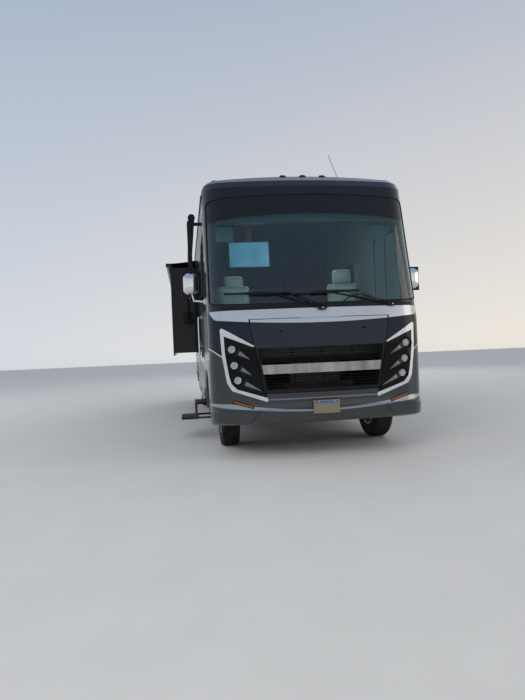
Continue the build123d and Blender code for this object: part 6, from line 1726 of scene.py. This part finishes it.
def cushion(name: str, low: Point, high: Point, crown: float, cap: float) -> bpy.types.Object:
    """Return a padded form, swollen by a short cloth run.

    Args:
        name: the piece's name.
        low: its lowest corner.
        high: its highest corner.
        crown: radius of its edges.
        cap: the most that a point may swell.

    Returns:
        The cushion.
    """
    inward = Vector((cap, cap, cap)) * 0.7
    piece = soft_block(name, Vector(low) + inward, Vector(high) - inward, crown, 5)
    work(piece, "REMESH", mode="VOXEL", voxel_size=0.012, use_smooth_shade=True)
    rest = [vertex.co.copy() for vertex in piece.data.vertices]
    modifier = piece.modifiers.new("cloth", "CLOTH")
    modifier.settings.use_pressure = True
    modifier.settings.uniform_pressure_force = 4.0
    modifier.settings.effector_weights.gravity = 0.0
    modifier.settings.quality = 4
    for step in range(1, 21):
        bpy.context.scene.frame_set(step)
    take(piece)
    bpy.ops.object.modifier_apply(modifier=modifier.name)
    bpy.context.scene.frame_set(1)
    for vertex, start in zip(piece.data.vertices, rest):
        move = vertex.co - start
        if move.length > cap:
            vertex.co = start + move.normalized() * cap
    work(piece, "SMOOTH", factor=0.5, iterations=6)
    return piece


def welt(low: Point, high: Point, corner: float, radius: float) -> bpy.types.Object:
    """Return a bead round a rounded rectangle that is flat along one axis.

    Args:
        low: its lowest corner.
        high: its highest corner.
        corner: the corners' radius.
        radius: the bead's radius.

    Returns:
        The bead.
    """
    low, high = Vector(low), Vector(high)
    clear_selection()
    bpy.ops.mesh.primitive_plane_add(size=1)
    piece = bpy.context.object
    flat = min(range(3), key=lambda axis: high[axis] - low[axis])
    first, second = (axis for axis in range(3) if axis != flat)
    for vertex in piece.data.vertices:
        place = Vector(low)
        place[first] = low[first] + (high[first] - low[first]) * (vertex.co.x + 0.5)
        place[second] = low[second] + (high[second] - low[second]) * (vertex.co.y + 0.5)
        vertex.co = place
    edit_all()
    bpy.ops.mesh.bevel(offset=corner, segments=6, affect="VERTICES")
    bpy.ops.mesh.select_all(action="SELECT")
    bpy.ops.mesh.delete(type="ONLY_FACE")
    leave()
    return beaded("welt", radius)


@dataclass
class CabSeats:
    """Two captain's chairs: padded seat, back, headrest and arms, with welted seams."""

    middles: tuple[float, float] = (-0.845, 0.740)
    head_rises: tuple[float, float] = (-0.03, 0.03)

    def build(self) -> None:
        """Pad one chair, copy it and place the headrests."""
        seat = cushion("seat", (-0.265, FRONT + 1.215, 1.51), (0.265, FRONT + 1.72, 1.65), 0.045, 0.016)
        back = cushion("back", (-0.25, FRONT + 1.64, 1.56), (0.25, FRONT + 1.79, 2.18), 0.05, 0.016)
        head = cushion("head", (-0.15, FRONT + 1.665, 2.10), (0.15, FRONT + 1.785, 2.34), 0.045, 0.012)
        welts = [welt((-0.235, FRONT + 1.255, 1.648), (0.235, FRONT + 1.63, 1.648), 0.05, 0.004),
                 welt((-0.215, FRONT + 1.6405, 1.68), (0.215, FRONT + 1.6405, 2.13), 0.05, 0.004),
                 welt((-0.12, FRONT + 1.668, 2.14), (0.12, FRONT + 1.668, 2.30), 0.04, 0.0035)]
        pads, seams = [], []
        for middle, rise in zip(self.middles, self.head_rises):
            pads += [shifted(seat, (middle, 0, 0)), shifted(back, (middle, 0, 0)), shifted(head, (middle, 0, rise))]
            seams += [shifted(welts[0], (middle, 0, 0)), shifted(welts[1], (middle, 0, 0)),
                      shifted(welts[2], (middle, 0, rise))]
        for source in (seat, back, head, *welts):
            bpy.data.objects.remove(source)
        chairs = finished(joined("cab_seats", pads), SEAT_LEATHER, stands_for=("seats",), smooth=80)
        finished(joined("cab_seat_welts", seams), WELT_LEATHER, smooth=80)


@dataclass
class CabInterior:
    """Things that show through the windshield: visors, a blank screen with a painted glow, gauges and vents."""

    def build(self) -> None:
        """Make the cab's small pieces."""
        visors, rods = [], []
        for low, high in ((-1.13, -0.91), (0.80, 1.02)):
            pad = soft_block("visor", (low, FRONT + 0.61, 2.575), (high, FRONT + 0.632, 2.765), 0.009, 4)
            visors.append(pad)
            rods.append(rod("visor_rod", (low - 0.03, FRONT + 0.621, 2.775), (high + 0.03, FRONT + 0.621, 2.775),
                            0.006, 12))
            middle = (low + high) / 2
            rods.append(rod("visor_stay", (middle, FRONT + 0.621, 2.77), (middle, FRONT + 0.70, 2.985), 0.006, 12))
        cloths = joined("sun_visors", visors)
        finished(cloths, VISOR_CLOTH)
        finished(joined("visor_rods", rods), GRILLE_BLACK)
        valance = ribbon("windshield_valance", [(-1.12, 2.822), (1.12, 2.822)], 0.052, -0.055, 0.030, 60)
        finished(valance, VISOR_CLOTH)
        # blank screen panel whose glow is painted light
        panel = block("screen_panel", (-0.852, FRONT + 1.994, 2.472), (-0.274, FRONT + 1.9995, 2.828))
        recessed(panel, (0, -1, 0), 0.010, (0, 0.0015, 0))
        finished(panel, SCREEN_PAINTED_GLOW)
        hood = block("gauge_hood", (0.50, FRONT + 0.80, 1.655), (0.98, FRONT + 0.98, 1.755))
        tapered(hood, (0, 0, 1), (0.82, 0.7, 1), (0.74, FRONT + 0.93, 1.755))
        soften(hood, 0.03, 5)
        finished(hood, DASH_PLASTIC)
        dials = [turned("dial", [(-0.004, 0.0), (-0.004, 0.040), (-0.008, 0.044), (-0.002, 0.047), (0.01, 0.047),
                                 (0.01, 0.0)], (across, FRONT + 0.982, 1.70), (0, -1, 0), 32)
                 for across in (0.66, 0.82)]
        vents = []
        for across in (-0.95, -0.55, -0.15, 0.25):
            for step in range(5):
                slat = soft_block("slat", (across - 0.11, FRONT + 0.50 + step * 0.014, 1.672 + step * 0.002),
                                  (across + 0.11, FRONT + 0.506 + step * 0.014, 1.679 + step * 0.002), 0.0015, 1)
                vents.append(slat)
        finished(joined("dash_vents", dials + vents), GRILLE_BLACK)


@dataclass
class RoofDetails:
    """Louvres on the air conditioners and ribs on the vent lids."""

    cooler_backs: tuple[float, float] = (3.50, 7.00)
    lid_backs: tuple[float, ...] = (2.35, 5.35, 8.35)

    def build(self) -> None:
        """Make the louvres and ribs."""
        slats = []
        for back in self.cooler_backs:
            for step in range(9):
                place = FRONT + back - 0.26 + step * 0.065
                for side in (1, -1):
                    slats.append(rod("slat", (side * 0.337, place, 3.46), (side * 0.318, place, 3.57), 0.008, 10))
            for step in range(7):
                height = 3.455 + step * 0.02
                place = FRONT + back + 0.487 - (height - 3.40) * 0.16
                slats.append(rod("slat", (-0.20, place, height), (0.20, place, height), 0.006, 10))
        finished(joined("cooler_louvres", slats), GRILLE_BLACK)
        ribs = []
        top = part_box("roof_units")[0].z + 0.098
        for back in self.lid_backs:
            for step in (-0.12, 0.0, 0.12):
                rib = soft_block("rib", (step - 0.014, FRONT + back - 0.13, top - 0.006),
                                 (step + 0.014, FRONT + back + 0.13, top + 0.006), 0.005, 3)
                ribs.append(rib)
        finished(joined("vent_lid_ribs", ribs), UNIT_PLASTIC)


@dataclass
class RearDetails:
    """Lamp rims, reflectors, plate holder and camera on the rear wall."""

    wall: float = 4.575
    lamps: tuple[float, float] = (1.06, -1.06)

    def build(self) -> None:
        """Make the rear fittings."""
        rims = [welt((lamp - 0.079, self.wall + 0.016, 0.936), (lamp + 0.079, self.wall + 0.016, 1.364), 0.03, 0.0075)
                for lamp in self.lamps]
        finished(joined("tail_lamp_rims", rims), MIRROR_CHROME, smooth=80)
        plate = soft_block("rear_plate", (-0.1525, self.wall + 0.004, 0.82),
                           (0.1525, self.wall + 0.008, 0.972), 0.012, 4, SHARP_ONLY)
        holder = block("rear_plate_holder", (-0.18, self.wall - 0.004, 0.795), (0.18, self.wall + 0.005, 1.03))
        panelled(holder, (0, 1, 0), 0.010, (0, 0.002, 0))
        soften(holder, 0.003, 2)
        lamp = soft_block("plate_lamp", (-0.05, self.wall, 0.985), (0.05, self.wall + 0.030, 1.012), 0.008, 3)
        camera = block("rear_camera", (-0.06, self.wall - 0.002, 2.98), (0.06, self.wall + 0.055, 3.06))
        tapered(camera, (0, 0, 1), (0.9, 0.8, 1), (0, self.wall, 3.06))
        soften(camera, 0.010, 3)
        eye = turned("eye", [(0.0, 0.0), (0.0, 0.018), (0.006, 0.018), (0.008, 0.012), (0.004, 0.0)],
                     (0, self.wall + 0.053, 3.015), (0, 1, -0.3), 24)
        finished(plate, PLATE_TAN)
        finished(joined("rear_fittings", [holder, lamp, camera, eye]), GRILLE_BLACK)
        glints = [block("glint", (lamp - 0.055, self.wall + 0.001, 0.76), (lamp + 0.055, self.wall + 0.008, 0.80))
                  for lamp in self.lamps]
        reflectors = joined("rear_reflectors", glints)
        soften(reflectors, 0.003, 2)
        finished(reflectors, RED)


@dataclass
class StepGrips:
    """Ribbed grip strips on the treads."""

    treads: tuple[tuple[float, float, float], ...] = ((-1.420, -1.205, 0.525), (-1.628, -1.400, 0.312))
    start: float = FRONT + 2.09
    end: float = FRONT + 2.52

    def build(self) -> None:
        """Make the grips."""
        ribs = []
        for low, high, top in self.treads:
            for step in range(9):
                across = low + (high - low) * (step + 0.5) / 9
                rib = soft_block("rib", (across - 0.006, self.start, top - 0.001),
                                 (across + 0.006, self.end, top + 0.003), 0.0012, 1)
                ribs.append(rib)
        finished(joined("step_grips", ribs), RUBBER, "steps")


@dataclass
class AwningDetails:
    """End caps, ribs and arm bolts of the awning."""

    across: float = -1.392
    height: float = 3.10
    radius: float = 0.042
    ends: tuple[float, float] = (FRONT + 1.57, FRONT + 8.52)

    def build(self) -> None:
        """Make the awning's details."""
        rolls = []
        for back, way in zip(self.ends, (-1, 1)):
            rolls.append(turned("cap", [(-0.020, 0.0), (-0.020, 0.047), (0.004, 0.050), (0.012, 0.046), (0.016, 0.030),
                                        (0.017, 0.0)], (self.across, back, self.height), (0, way, 0), 36))
        for step in range(12):
            turn = math.tau * step / 12
            spot = (self.across + self.radius * math.cos(turn), self.height + self.radius * math.sin(turn))
            rolls.append(rod("rib", (spot[0], self.ends[0] + 0.01, spot[1]), (spot[0], self.ends[1] - 0.01, spot[1]),
                             0.0016, 6))
        bolts = []
        for back in (self.ends[0] + 0.03, self.ends[1] - 0.03):
            for height in (2.00, 2.50, 2.96):
                bolts.append(turned("bolt", [(0.0, 0.0), (0.0, 0.011), (0.005, 0.010), (0.008, 0.005), (0.0085, 0.0)],
                                    (-1.455, back, height), (-1, 0, 0), 14))
        finished(joined("awning_ribs", rolls), AWNING_BLACK)
        finished(joined("awning_bolts", bolts), LADDER_BRIGHT)


ASSEMBLIES = (
    Studio, LampPods, NoseFittings, NoseStrips, AmberLamps, WiperDetails, Mirrors, WindowTrims, SideFittings, Tyres,
    WheelDetails, Toppers, CabSeats, CabInterior, RoofDetails, RearDetails, StepGrips, AwningDetails,
)


def main() -> None:
    """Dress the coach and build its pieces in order."""
    logging.basicConfig(level=logging.INFO, format="%(name)s: %(message)s")
    finish_nodes()
    for assembly in ASSEMBLIES:
        assembly().build()
        log.info("%s built", assembly.__name__)


if __name__ == "__main__":
    main()
